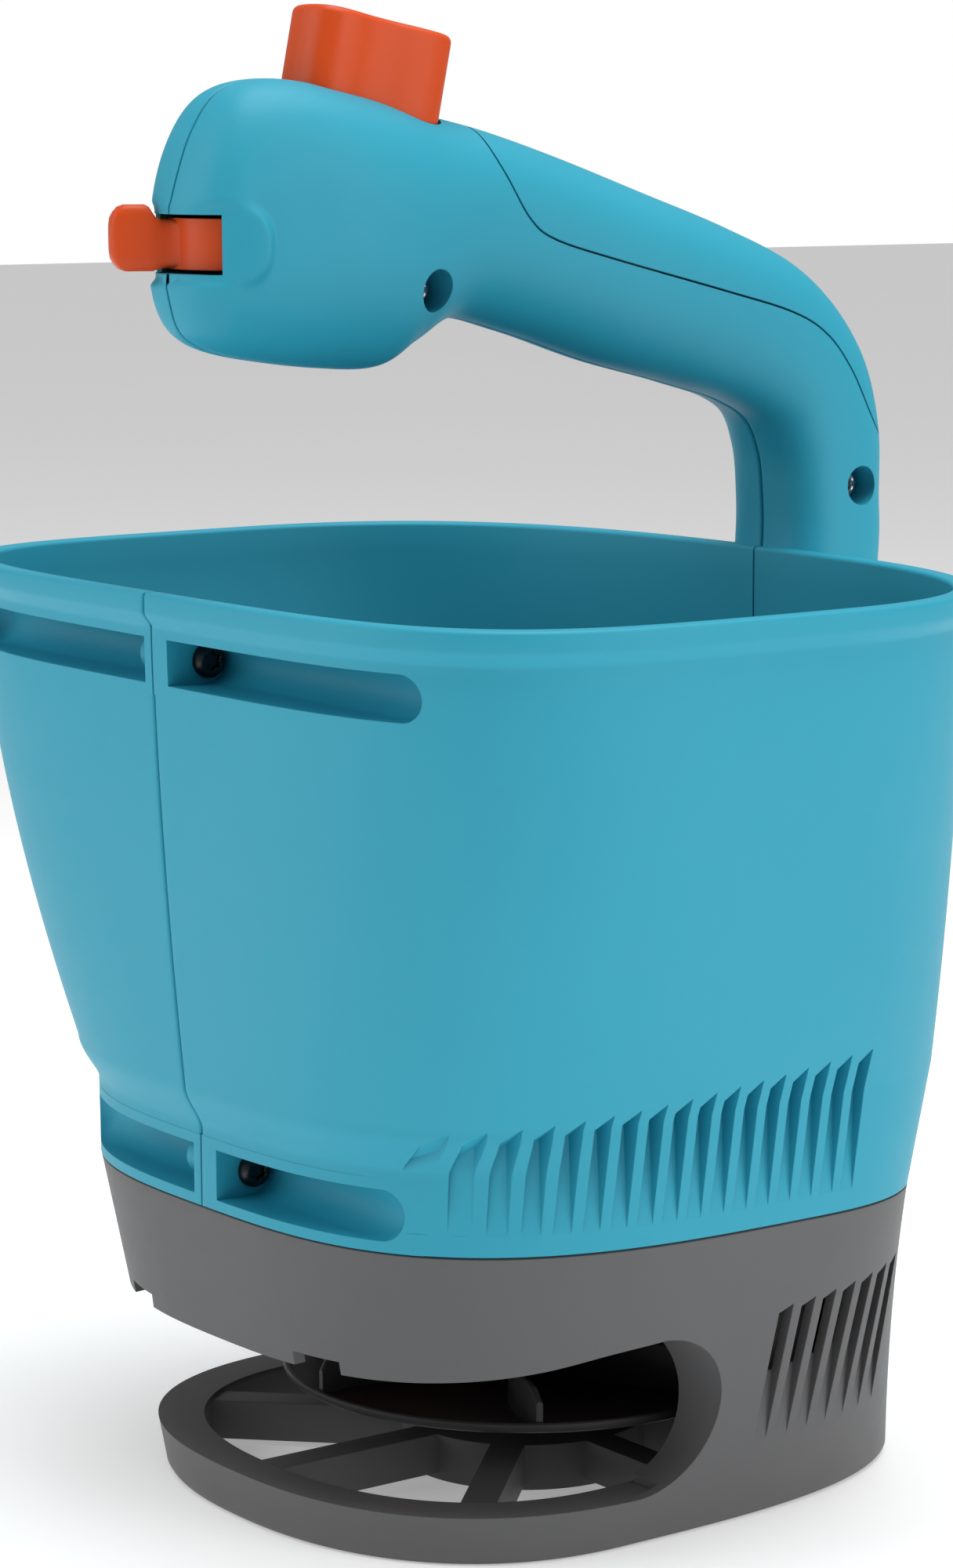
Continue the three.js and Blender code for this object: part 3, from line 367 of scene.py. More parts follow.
def handle_half(name, side, shrink=0.0, start=0, end=99, seam=SEAM, dressed=False):
    """Half of the handle as a closed solid, on the side of X that side names."""
    angles = np.linspace(np.pi / 2, -np.pi / 2, 1500)
    inset = seam_inset(AROUND) if dressed else np.zeros(AROUND + 2 * (len(SEAM_TURN) - 1))
    rings = []
    for t in handle_steps(start, end):
        y, z, lean, h, w, n = handle_row(t)
        lean = math.radians(lean)
        half = np.stack([signed_power(np.cos(angles), 2 / n) * max(w - shrink, SLIMMEST),
                         signed_power(np.sin(angles), 2 / n) * max(h - shrink, SLIMMEST)], 1)
        if seam < 0:
            half = np.vstack([[seam, half[0, 1]], half, [seam, half[-1, 1]]])
        else:
            half = clip_at_seam(half, seam)
        half = seam_stations(half, AROUND)
        half[:, 1] -= np.sign(half[:, 1]) * inset * (np.abs(half[:, 1]) > 0)
        up = half[:, 1]
        rings.append(np.stack([half[:, 0] * side, y + math.sin(lean) * up, z + math.cos(lean) * up], 1))
    rings = np.array(rings)
    if dressed:
        rings = dress_head(rings)
    return loft(name, rings)


def smooth(t):
    t = np.clip(t, 0, 1)
    return t * t * (3 - 2 * t)


def dress_head(rings):
    """Sinks the band round the lever's slot into the front of the head and raises its rounded ends."""
    x, y, z = rings[..., 0], rings[..., 1], rings[..., 2]
    reach = np.hypot(x, y - LEVER_Y)
    turn = np.arctan2(np.abs(x), -(y - LEVER_Y))
    along = BAND_RADIUS * turn - (BAND_END - BAND_HALF)
    up = (z - BAND_MIDDLE) / BAND_HALF
    rounded = (np.abs(along / BAND_HALF) ** BAND_CORNER + np.abs(up) ** BAND_CORNER) ** (1 / BAND_CORNER)
    edge = np.where(along > 0, rounded, np.abs(up))
    weight = smooth((1.12 - edge) / 0.24) * (y < LEVER_Y + 12)
    target = mix(reach, BAND_RADIUS, weight)
    scale = np.where(reach > 1, target / np.maximum(reach, 1e-6), 1)
    rings = rings.copy()
    rings[..., 0] = np.where(np.abs(x) > SEAM + 0.01, x * scale, x)
    rings[..., 1] = LEVER_Y + (y - LEVER_Y) * scale
    return rings


def whole_loft(name, profile, count=400):
    """A closed solid over full plan rings at (z, plan, grow) levels."""
    angles = np.linspace(0, 2 * np.pi, 4 * count, endpoint=False)
    rings = [np.c_[even(plan_points(plan, grow, angles), count, closed=True), np.full(count, z)]
             for z, plan, grow in profile]
    return loft(name, rings)


def outer_levels(inset, low, high, steps=40):
    levels = []
    for z in np.linspace(low, high, steps):
        plan, grow = wall_at(min(z, BAND_Z))
        levels.append((z, plan, grow - inset))
    return levels


def side_reach(plan, grow, y):
    """X of a plan outline at station y."""
    n, reach = (plan["nf"], plan["f"]) if y < plan["y0"] else (plan["nr"], plan["r"])
    share = min(abs(y - plan["y0"]) / (reach + grow), 1)
    return (plan["a"] + grow) * (1 - share ** n) ** (1 / n)


def flank(y, z):
    """X of the hopper's side at station y and height z."""
    reach = side_reach(*wall_at(z), y)
    if z >= LEDGE_TOP:
        return reach
    t = (z - JOINT["z"]) / (LEDGE_TOP - JOINT["z"])
    straight = mix(side_reach(*wall_at(JOINT["z"]), y), side_reach(*wall_at(LEDGE_TOP), y), t)
    return mix(straight, reach, ledge_share(y))


# One flute: a straight-sided slot whose floor ramps out to the skin at its foot and, more steeply,
# at its slanted top.
FLUTES = dict(count=17, first=-83.6, pitch=6.5, width=3.9, low=84.0, high=105.5, rise=0.66, slant=3.2,
              depth=4.9, deepen=0.06, ramp=4.5, lead=1.2)
FLUTE_REACH, SKIN_CLEAR = 8, 0.05


def flute(side, spec, i, skin):
    near = spec["first"] + i * spec["pitch"]
    depth = (spec["depth"] + i * spec["deepen"]) * min((i + spec["lead"]) / 3, 1)
    rings = []
    for y, lift in ((near, 0), (near + spec["width"], spec["slant"])):
        top = spec["high"] + i * spec["rise"] + lift
        deep = top - spec["ramp"]
        foot, knee, head = skin(y, spec["low"]), skin(y, deep), skin(y, top)
        out = max(foot, head) + FLUTE_REACH
        corners = [(out, spec["low"]), (foot + SKIN_CLEAR, spec["low"]), (knee - depth, deep),
                   (head + SKIN_CLEAR, top), (out, top)]
        rings.append([(side * x, y, z) for x, z in corners])
    return loft("flute", rings)


def joined(name, pieces):
    """Several separate solids as one mesh."""
    points, faces = [], []
    for piece in pieces:
        base = len(points)
        points += [tuple(v.co / MM) for v in piece.data.vertices]
        faces += [tuple(base + v for v in p.vertices) for p in piece.data.polygons]
        bpy.data.objects.remove(piece)
    return mesh_object(name, points, faces)


TROUGHS = [dict(low=204.0, high=214.6, floor=-91.0, end=94), dict(low=81.5, high=93.6, floor=-80.5, end=67)]
TROUGH_NEAR, TROUGH_FAR, BOSS_RADIUS, SCREW_SUNK = 6.5, 3.2, 5.0, 5.2
FAR_OUT = 140
SIDE_SCREWS = [dict(y=-39.6, z=292, mouth=5.0), dict(y=93, z=240.5, mouth=4.9),
               dict(y=92.3, z=200, mouth=4.8), dict(y=79.7, z=110, mouth=4.8)]
SHANK_BORE, SEAT_X, SCREW_WALL = 2.0, 8.0, 1.6
# How far the screws' bosses reach inside the handle: past the seam on the blind side, and to the
# skin on the driver's side.
BLIND_REACH, DRIVER_REACH, OUTSIDE = 15, 26, 40


def trough(side, spec, near):
    """A half-round trench along X with a rounded far end, open to the front."""
    half = (spec["high"] - spec["low"]) / 2
    middle = (spec["high"] + spec["low"]) / 2
    turn = np.linspace(0, np.pi / 2 - 0.06, 14)
    rings = [(near, 1.0)] + [(spec["end"] - half + half * math.sin(a), math.cos(a)) for a in turn]
    solid_rings = []
    for x, share in rings:
        r = half * share
        arc = [(spec["floor"] - half + r * math.cos(a), middle + r * math.sin(a))
               for a in np.linspace(-np.pi / 2, np.pi / 2, 24)]
        loop = [(-FAR_OUT, middle - r)] + arc + [(-FAR_OUT, middle + r)]
        solid_rings.append([(side * x, y, z) for y, z in loop])
    return loft("trough", solid_rings)


COVER_LINE = [(-22, 336), (-20.5, 325), (-17, 317), (-11.5, 308.3), (-4, 303.4), (15, 298.2), (47.4, 290.4),
              (69.7, 284.6), (81.3, 278.8), (89.4, 270), (98.3, 256), (108, 248)]
COVER_GAP, WELL_GAP, LEVER_GAP, SLOT_REACH = 0.5, 0.7, 0.8, 45


def spline(points, per_span=12):
    """A Catmull-Rom curve through 2-D points."""
    points = np.asarray(points, float)
    padded = np.vstack([2 * points[0] - points[1], points, 2 * points[-1] - points[-2]])
    out = []
    for p0, p1, p2, p3 in zip(padded, padded[1:], padded[2:], padded[3:]):
        for u in np.linspace(0, 1, per_span, endpoint=False):
            out.append(catmull(p0, p1, p2, p3, u))
    out.append(points[-1])
    return np.array(out)


def cover_side(shift):
    """The part of the handle above the cover's parting line, moved out by shift."""
    line = spline(COVER_LINE)
    along = np.gradient(line, axis=0)
    along /= np.linalg.norm(along, axis=1)[:, None]
    line = line + np.stack([-along[:, 1], along[:, 0]], 1) * shift
    outline = [*line[::-1].tolist(), (-22, 350), (130, 350), (130, 248)]
    return prism("cover_side", outline, -40, 40, "X")


BUTTON = dict(front=-63.4, rear=-26.5, half=11.5, top=352.5, lean=12.0, skirt=318.0)
BUTTON_HALF = [(0, 0), (0.012, 0.34), (0.05, 0.62), (0.13, 0.79), (0.25, 0.83), (0.38, 0.80), (0.52, 0.84),
               (0.68, 0.95), (0.82, 1.0), (0.93, 0.92), (0.985, 0.66), (1, 0)]


def button_outline(grow, count=144):
    length = BUTTON["rear"] - BUTTON["front"]
    side = [(w * BUTTON["half"], BUTTON["front"] + t * length) for t, w in BUTTON_HALF]
    right = spline(side, 14)
    right[:, 0] = np.maximum(right[:, 0], 0)
    loop = np.vstack([right, (right[1:-1] * (-1, 1))[::-1]])
    loop = even(loop, count, closed=True)
    tangent = np.roll(loop, -1, 0) - np.roll(loop, 1, 0)
    tangent /= np.linalg.norm(tangent, axis=1)[:, None]
    return loop + np.stack([tangent[:, 1], -tangent[:, 0]], 1) * grow


def lean_button(points):
    """Turns points about the middle of the button's top, so that the button's axis leans back."""
    angle = math.radians(-BUTTON["lean"])
    points = np.array(points, float)
    y, z = points[..., 1] - (BUTTON["front"] + BUTTON["rear"]) / 2, points[..., 2] - BUTTON["top"]
    points[..., 1] = (BUTTON["front"] + BUTTON["rear"]) / 2 + y * math.cos(angle) - z * math.sin(angle)
    points[..., 2] = BUTTON["top"] + y * math.sin(angle) + z * math.cos(angle)
    return points


def button_prism(name, grow, low, high):
    outline = button_outline(grow)
    return loft(name, lean_button([np.c_[outline, np.full(len(outline), z)] for z in (low, high)]))


SLOT_LOW, SLOT_HIGH, SLOT_END = 296.6, 309.9, 41
WELL_LOW, WELL_HIGH = 322, 390
ROOM_START, ROOM_END, ROOM_LAP = 1.5, len(HANDLE) - 1.3, 2
POST_END, BORE_END = -14, -13


def half_shell(name, side):
    """One moulding: hopper wall, handle half, trough liners and bosses, then every opening cut."""
    stations = STATIONS + 2 * (len(SEAM_TURN) - 1)
    profile, outer_count = hopper_profile(PAD)
    grid = np.stack([np.c_[half_plan(plan, grow), np.full(stations, z)] for z, plan, grow in profile], 1)
    inset = seam_inset(STATIONS)
    front = np.arange(stations) < stations // 2
    grid[:, :outer_count, 1] += (np.where(front, 1, -1) * inset)[:, None]
    grid = straighten(grid)
    grid[..., 0] *= side
    shell = loft(name, grid)
    skin = whole_loft("skin", outer_levels(0, JOINT["z"] - 4, RIM["z"] + 4))
    inner = whole_loft("inner", outer_levels(WALL, JOINT["z"] - 8, RIM["z"] + 6))
    grip = handle_half("grip", side, dressed=True)
    boolean(grip, inner)
    room = handle_half("room", side, WALL, ROOM_START, ROOM_END, -ROOM_LAP)
    boolean(room, skin, keep_tool=True)
    for spec in SIDE_SCREWS:
        ends = (-DRIVER_REACH, BLIND_REACH) if side < 0 else (-BLIND_REACH, DRIVER_REACH)
        boolean(room, rod("boss", spec["mouth"] + SCREW_WALL, *ends, (spec["y"], spec["z"]), "X"))
    boolean(grip, room)
    boolean(shell, grip, "UNION")
    for spec in TROUGHS:
        x = sorted((side * SEAM, side * (spec["end"] + WALL)))
        z = (spec["low"] - WALL, spec["high"] + WALL)
        liner = block("liner", x, (-FAR_OUT, spec["floor"] + WALL), z)
        boolean(liner, skin, "INTERSECT", keep_tool=True)
        boolean(shell, liner, "UNION")
    bpy.data.objects.remove(skin)
    for spec in TROUGHS:
        near = TROUGH_NEAR if side > 0 else TROUGH_FAR
        boolean(shell, trough(side, spec, near))
        place = (spec["floor"] - SCREW_SUNK, (spec["low"] + spec["high"]) / 2)
        if side < 0:
            post = rod("post", BOSS_RADIUS, POST_END, -near + 0.5, place, "X")
            boolean(shell, post, "UNION")
        boolean(shell, rod("bore", SHANK_BORE, BORE_END, near + 1, place, "X"))
    if side > 0:
        for spec in SIDE_SCREWS:
            boolean(shell, rod("mouth", spec["mouth"], SEAT_X, OUTSIDE, (spec["y"], spec["z"]), "X"))
            boolean(shell, rod("bore", SHANK_BORE, -2, SEAT_X + 1, (spec["y"], spec["z"]), "X"))
    flutes = [flute(side, FLUTES, i, flank) for i in range(FLUTES["count"])]
    boolean(shell, joined("flutes", flutes))
    boolean(shell, cover_side(-COVER_GAP))
    boolean(shell, button_prism("well", WELL_GAP, WELL_LOW, WELL_HIGH))
    boolean(shell, rod("lever_room", LEVER_RADIUS + LEVER_GAP, SLOT_LOW, SLOT_HIGH, (0, LEVER_Y), sides=96))
    end = math.radians(SLOT_END)
    across, front = SLOT_REACH * math.sin(end), LEVER_Y - SLOT_REACH * math.cos(end)
    wedge = [(0, LEVER_Y), (-across, front), (across, front)]
    boolean(shell, prism("slot", wedge, SLOT_LOW, SLOT_HIGH))
    return shell


# Colour drifts over hand widths and gloss over finger widths. The eroded grain itself is about
# 0.1 mm, too fine to show, so it is drawn about three times as coarse.
DRIFT_WIDTH, CLOUD_WIDTH, PIT_DEPTH = 60 * MM, 9 * MM, 0.06 * MM


def grained(name, light, dark, roughness, grain=0.35, strength=0.25, edge=0.35, spread=0.05):
    """A spark-eroded moulded plastic: slight colour drift, fine grain and softened edges."""
    material, tree, shader = new_material(name)
    place = [("Vector", add_node(tree, "ShaderNodeTexCoord").outputs["Object"])]
    drift = add_node(tree, "ShaderNodeTexNoise", place, Scale=1 / DRIFT_WIDTH, Detail=3.0)
    colour = add_node(tree, "ShaderNodeMix", [("Factor", drift.outputs["Fac"])], data_type="RGBA")
    colour.inputs[COLOUR_A].default_value = srgb(light)
    colour.inputs[COLOUR_B].default_value = srgb(dark)
    tree.links.new(colour.outputs[COLOUR_OUT], shader.inputs["Base Color"])
    cloud = add_node(tree, "ShaderNodeTexNoise", place, Scale=1 / CLOUD_WIDTH, Detail=4.0)
    sheen = add_node(tree, "ShaderNodeMapRange", [("Value", cloud.outputs["Fac"])],
                     To_Min=roughness - spread, To_Max=roughness + spread)
    tree.links.new(sheen.outputs["Result"], shader.inputs["Roughness"])
    pits = add_node(tree, "ShaderNodeTexNoise", place, Scale=1 / (grain * MM), Detail=2.0)
    rounding = add_node(tree, "ShaderNodeBevel", samples=4, Radius=edge * MM)
    relief = [("Height", pits.outputs["Fac"]), ("Normal", rounding.outputs["Normal"])]
    bump = add_node(tree, "ShaderNodeBump", relief, Strength=strength, Distance=PIT_DEPTH)
    tree.links.new(bump.outputs["Normal"], shader.inputs["Normal"])
    shader.inputs["Specular IOR Level"].default_value = 0.3
    return material


def finish(piece, material, body, *nodes, sharp=32):
    """Gives a piece its material, smooth shading and body, and stands it in for its CAD nodes."""
    piece.data.materials.clear()
    piece.data.materials.append(material)
    piece.data.shade_smooth()
    piece.data.set_sharp_from_angle(angle=math.radians(sharp))
    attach(piece, body)
    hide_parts(*nodes)
    return piece


# Teal polypropylene of the shells and the battery cover, with a matt eroded skin.
teal = grained("teal_polypropylene", "#2F9FB8", "#2A9AB3", 0.5)
finish(half_shell("hopper_and_handle_right", 1), teal, "frame", "shell_right")
finish(half_shell("hopper_and_handle_left", -1), teal, "frame", "shell_left")

# ---------------------------------------------------------------- battery cover
# The lid over the grip's power pack, moulded in the shells' own plastic and clipped into them
# along a parting line that runs from behind the button to the back of the post.


def handle_whole(name, shrink, start, end):
    """The handle's full section as a closed solid, drawn in by shrink."""
    angles = np.linspace(0, 2 * np.pi, 1200, endpoint=False)
    rings = []
    for t in handle_steps(start, end):
        y, z, lean, h, w, n = handle_row(t)
        lean = math.radians(lean)
        loop = np.stack([signed_power(np.cos(angles), 2 / n) * max(w - shrink, SLIMMEST),
                         signed_power(np.sin(angles), 2 / n) * max(h - shrink, SLIMMEST)], 1)
        loop = even(loop, 2 * AROUND, closed=True)
        rings.append(np.c_[loop[:, 0], y + math.sin(lean) * loop[:, 1], z + math.cos(lean) * loop[:, 1]])
    return loft(name, rings)


COVER_START, COVER_END = 4, len(HANDLE) - 1
LID_THINNER = 0.3
cover = handle_whole("battery_lid", 0, COVER_START, COVER_END)
boolean(cover, handle_whole("lid_room", WALL - LID_THINNER, COVER_START, COVER_END))
for spec in SIDE_SCREWS:
    clear_radius = spec["mouth"] + SCREW_WALL + LID_THINNER
    boolean(cover, rod("boss", clear_radius, -BLIND_REACH, DRIVER_REACH, (spec["y"], spec["z"]), "X"))
boolean(cover, cover_side(0), "INTERSECT")
finish(cover, teal, "cover", "battery_cover")

# ---------------------------------------------------------------- push button
# An orange ABS cup with a waisted outline and a soft top edge, on a round stem that reaches down
# to the switch. It slides in its well against the return spring.
CUP_TOP = BUTTON["top"] + 0.8
CUP_EDGE, CUP_CHAMFER, CUP_WALL, CUP_ROOF = 1.8, 0.6, 2.2, 2.4
STEM_RADIUS, STEM_LOW, STEM_HIGH, STEM_SIDES = 2.6, 307.5, 352, 40
cup_levels = [(BUTTON["skirt"], -CUP_CHAMFER), (BUTTON["skirt"] + CUP_CHAMFER, 0)]
for angle in np.linspace(0, np.pi / 2, 8):
    rise, drawn_in = CUP_EDGE * math.sin(angle), -CUP_EDGE + CUP_EDGE * math.cos(angle)
    cup_levels.append((CUP_TOP - CUP_EDGE + rise, drawn_in))
cup_rings = []
for z, grow in cup_levels:
    outline = button_outline(grow)
    cup_rings.append(np.c_[outline, np.full(len(outline), z)])
button = loft("button_cup", lean_button(cup_rings))
boolean(button, button_prism("cup_room", -CUP_WALL, BUTTON["skirt"] - 5, BUTTON["top"] - CUP_ROOF))
ring = np.linspace(0, 2 * np.pi, STEM_SIDES, endpoint=False)
stem_x = STEM_RADIUS * np.cos(ring)
stem_y = (BUTTON["front"] + BUTTON["rear"]) / 2 + STEM_RADIUS * np.sin(ring)
stem_rings = [np.c_[stem_x, stem_y, np.full(STEM_SIDES, z)] for z in (STEM_LOW, STEM_HIGH)]
boolean(button, loft("stem", lean_button(stem_rings)), "UNION")
# Orange ABS of the button, the lever and the dosing ring: a satin skin, finer than the shells'.
orange = grained("orange_abs", "#D24A12", "#CC460F", 0.42, grain=0.25, strength=0.12)
finish(button, orange, "button", "push_button")

# ---------------------------------------------------------------- rate lever
# One orange ABS moulding: a hub on a steel pin, a web, a curved band that closes the slot, and a
# flat knob with rounded edges that stands out of the slot for the thumb.
LEVER_PIN, LEVER_HUB, LEVER_BAND, LEVER_WEB = 3.0, 6.0, 2.0, 3
KNOB_SQUARENESS = 0.42
KNOB_TURN, BAND_SWEEP, WEB_SWEEP = -22, 62, 25


def arc_plan(inner, outer, start, end, steps=60):
    turn = np.radians(np.linspace(start, end, steps))
    out = np.stack([outer * np.sin(turn), LEVER_Y - outer * np.cos(turn)], 1)
    back = np.stack([inner * np.sin(turn), LEVER_Y - inner * np.cos(turn)], 1)[::-1]
    return np.vstack([out, back])


lever = rod("lever_body", LEVER_HUB, LEVER_LOW, LEVER_HIGH, (0, LEVER_Y), sides=64)
band_plan = arc_plan(LEVER_RADIUS - LEVER_BAND, LEVER_RADIUS, KNOB_TURN - BAND_SWEEP, KNOB_TURN + BAND_SWEEP)
web_plan = arc_plan(LEVER_HUB - 1, LEVER_RADIUS - 1, KNOB_TURN - WEB_SWEEP, KNOB_TURN + WEB_SWEEP)
boolean(lever, prism("web", web_plan, LEVER_LOW, LEVER_LOW + LEVER_WEB), "UNION")
boolean(lever, prism("band", band_plan, LEVER_LOW, LEVER_HIGH), "UNION")
knob_rows = [
    # distance from the pin, half thickness, bottom, top
    (15.2, 8.6, 297.6, 308.8), (16.2, 7.2, 297.6, 308.8), (17.2, 5.9, 297.7, 308.8),
    (18.2, 4.8, 297.7, 308.8), (19.2, 4.0, 297.7, 308.8), (20.2, 3.6, 297.6, 308.9),
    (21.6, 3.5, 297.3, 309.2), (22.4, 3.5, 297.0, 310.4), (23.1, 3.5, 297.0, 311.5),
    (24.0, 3.5, 297.0, 312.0), (26.0, 3.5, 297.0, 312.0), (28.6, 3.5, 297.0, 312.0),
    (30.0, 3.4, 297.5, 311.5), (31.0, 3.0, 298.6, 310.4), (31.7, 2.4, 299.8, 309.2),
    (32.0, 1.5, 301.2, 307.8),
]
knob_turn = math.radians(KNOB_TURN)
outward = np.array([math.sin(knob_turn), -math.cos(knob_turn)])
across = np.array([math.cos(knob_turn), math.sin(knob_turn)])
round_way = np.linspace(0, 2 * np.pi, 64, endpoint=False)
knob_rings = []
for distance, half, low, high in knob_rows:
    sideways = signed_power(np.cos(round_way), KNOB_SQUARENESS) * half
    upward = (low + high) / 2 + signed_power(np.sin(round_way), KNOB_SQUARENESS) * (high - low) / 2
    plan = np.array([0, LEVER_Y]) + outward * distance + sideways[:, None] * across
    knob_rings.append(np.c_[plan, upward])
boolean(lever, loft("knob", knob_rings), "UNION")
boolean(lever, rod("pin_hole", LEVER_PIN + 0.1, 280, 320, (0, LEVER_Y), sides=48))
finish(lever, orange, "lever", "rate_lever")

# ---------------------------------------------------------------- base moulding
# One grey polypropylene moulding: a skirt under the hopper, a column behind the spinner with
# louvres through its sides, and a spoked guard ring that the whole spreader stands on.
FOOT = dict(z=0, y0=-25, a=74.5, f=62.5, r=115, nf=2.3, nr=3.0)
BASE_TOP, BASE_WALL, BASE_FLOOR, FOOT_ROUND = 78.7, 3.0, 2.6, 2.0
RING_TOP, RING_WIDTH, RING_REAR, HUB_RADIUS, SPOKES, SPOKE_WIDTH, SPOKE_LOW = 12.5, 9.5, 62, 31, 8, 8.5, 1.5
THROW_RADIUS, DEFLECTOR = 68, 2.6
SKIRT_EDGE = [(-130, 45.5), (-90, 46.2), (-72, 47.4), (-56, 49.4), (-40, 52.2), (-25.5, 53.7)]
WINDOW_END = -4.9
LOUVRES = dict(count=7, first=8.2, pitch=6.95, width=4.2, low=21, high=55, rise=0.6, slant=1.8,
               depth=6, deepen=0, ramp=0.2, lead=3)
BASE_BOSSES = [(72, -55), (45, 60)]
BASE_BOSS, BASE_BOSS_LOW, RIB, RIB_REACH = 5.0, 56, 1.3, 120
CHAMBER_BACK = 12


def base_levels(inset, levels):
    return [(z, mix_plan(FOOT, JOINT, z / JOINT["z"]), -inset) for z in levels]


def base_flank(y, z):
    return side_reach(mix_plan(FOOT, JOINT, z / JOINT["z"]), 0, y)


foot_levels = []
for angle in np.linspace(0, np.pi / 2, 6)[:-1]:
    drawn_in = -FOOT_ROUND + FOOT_ROUND * math.sin(angle)
    foot_levels.append((FOOT_ROUND - FOOT_ROUND * math.cos(angle), mix_plan(FOOT, JOINT, 0), drawn_in))
skirt_levels = base_levels(0, np.linspace(FOOT_ROUND, BASE_TOP - 0.6, 24))
top_levels = [(BASE_TOP - 0.3, JOINT, -0.12), (BASE_TOP, JOINT, -0.6)]
base = whole_loft("base_moulding", foot_levels + skirt_levels + top_levels)
room_levels = np.linspace(BASE_FLOOR, BASE_TOP + 2, 16)


def base_cut(x, y, z, keep=()):
    """Hollows the base inside the limits, less any solids to keep."""
    space = whole_loft("space", base_levels(BASE_WALL, room_levels))
    boolean(space, block("limits", x, y, z), "INTERSECT")
    for solid in keep:
        boolean(space, solid)
    boolean(base, space)


BEYOND, CHAMBER_TOP, LAP = 130, 54.5, 0.1
base_cut((-BEYOND, BEYOND), (-BEYOND, BEYOND), (CHAMBER_TOP, 100))
base_cut((-BEYOND, BEYOND), (WINDOW_END + BASE_WALL, BEYOND), (BASE_FLOOR, CHAMBER_TOP + LAP),
         [rod("deflector", THROW_RADIUS + DEFLECTOR, 0, 60, sides=160)])
base_cut((-BEYOND, BEYOND), (-BEYOND, WINDOW_END - CHAMBER_BACK), (RING_TOP, CHAMBER_TOP + LAP))
boolean(base, rod("chamber", THROW_RADIUS, RING_TOP, BASE_TOP + 1, sides=160))
window_radius = (SKIRT_EDGE[-1][1] - RING_TOP) / 2
window = spline(SKIRT_EDGE).tolist()
for angle in np.linspace(np.pi / 2, -np.pi / 2, 40)[1:]:
    window.append((WINDOW_END - window_radius + window_radius * math.cos(angle),
                   RING_TOP + window_radius + window_radius * math.sin(angle)))
window.append((-BEYOND, RING_TOP))
boolean(base, prism("window", window, -BEYOND, BEYOND, "X"))

ring_plan = dict(FOOT, a=FOOT["a"] - RING_WIDTH, f=FOOT["f"] - RING_WIDTH, r=RING_REAR - FOOT["y0"], nr=2.0)
opening = whole_loft("ring_opening", [(-1, ring_plan, 0), (RING_TOP - 1.2, ring_plan, 0),
                                      (RING_TOP - 0.4, ring_plan, 0.3), (RING_TOP + 1, ring_plan, 1.2)])
for i in range(SPOKES // 2):
    turn = i / SPOKES * 2 * math.pi
    way = np.array([math.cos(turn), math.sin(turn)])
    side_way = np.array([-math.sin(turn), math.cos(turn)])
    half = SPOKE_WIDTH / 2
    bar = [way * u * 90 + side_way * v for u, v in ((-1, -half), (1, -half), (1, half), (-1, half))]
    boolean(opening, prism("spoke", bar, SPOKE_LOW, RING_TOP - 1))
boolean(opening, rod("ring_hub", HUB_RADIUS, -2, RING_TOP - 1, sides=96))
corners = opening.modifiers.new("slot_corners", "BEVEL")
corners.width, corners.segments = 1.0 * MM, 3
corners.limit_method, corners.angle_limit = "ANGLE", math.radians(60)
boolean(base, opening)

boolean(base, joined("louvres", [flute(side, LOUVRES, i, base_flank) for side in (-1, 1)
                                 for i in range(LOUVRES["count"])]))
NOTCH_NEAR, NOTCH_FAR, NOTCH_TOP, DRIVER_HOLE = 31, 45, 49.5, 4.7
for side in (-1, 1):
    notch = sorted((side * NOTCH_NEAR, side * NOTCH_FAR))
    boolean(base, block("notch", notch, (-BEYOND, -60), (40, NOTCH_TOP)))
    for x, y in BASE_BOSSES:
        post = rod("post", BASE_BOSS, BASE_BOSS_LOW, BASE_TOP, (side * x, y), sides=48)
        rib_x = sorted((side * x, side * RIB_REACH))
        rib = block("rib", rib_x, (y - RIB, y + RIB), (BASE_BOSS_LOW, BASE_TOP))
        boolean(rib, whole_loft("inside", base_levels(BASE_WALL / 2, (46, BASE_TOP))), "INTERSECT")
        boolean(post, rib, "UNION")
        boolean(post, rod("bore", SHANK_BORE, BASE_BOSS_LOW - 1, BASE_TOP + 1, (side * x, y)))
        boolean(base, post, "UNION")
    x, y = BASE_BOSSES[1]
    boolean(base, rod("driver_hole", DRIVER_HOLE, -1, BASE_FLOOR + 1, (side * x, y)))
# Grey polypropylene of the base, the pod and the switch carrier, matt like the shells.
grey = grained("grey_polypropylene", "#5F5F60", "#5B5B5C", 0.5)
finish(base, grey, "frame", "base_frame")

# ---------------------------------------------------------------- hopper floor and dosing ring
# A black funnel with one outlet port hangs in the collar; an orange ring with a matching window
# turns under it and sets how far the port stands open.
FLOOR_EDGE, FLOOR_TOP, FLOOR_THICK, LIP_RADIUS, PORT_RADIUS, PORT_Y = 96, 80.2, 2.2, 57, 12, 40
BOSS_CLEAR, FIT = 0.4, 0.3


def disc_plan(radius):
    return dict(y0=0, a=radius, f=radius, r=radius, nf=2, nr=2)


def funnel_levels(low_radius, low, high, grow, steps=14):
    """Levels from a round lip up to the collar's outline."""
    lip = disc_plan(low_radius)
    edge = dict(JOINT, a=JOINT["a"] + grow, f=JOINT["f"] + grow, r=JOINT["r"] + grow)
    return [(mix(low, high, t), mix_plan(lip, edge, t), 0) for t in np.linspace(0, 1, steps)]


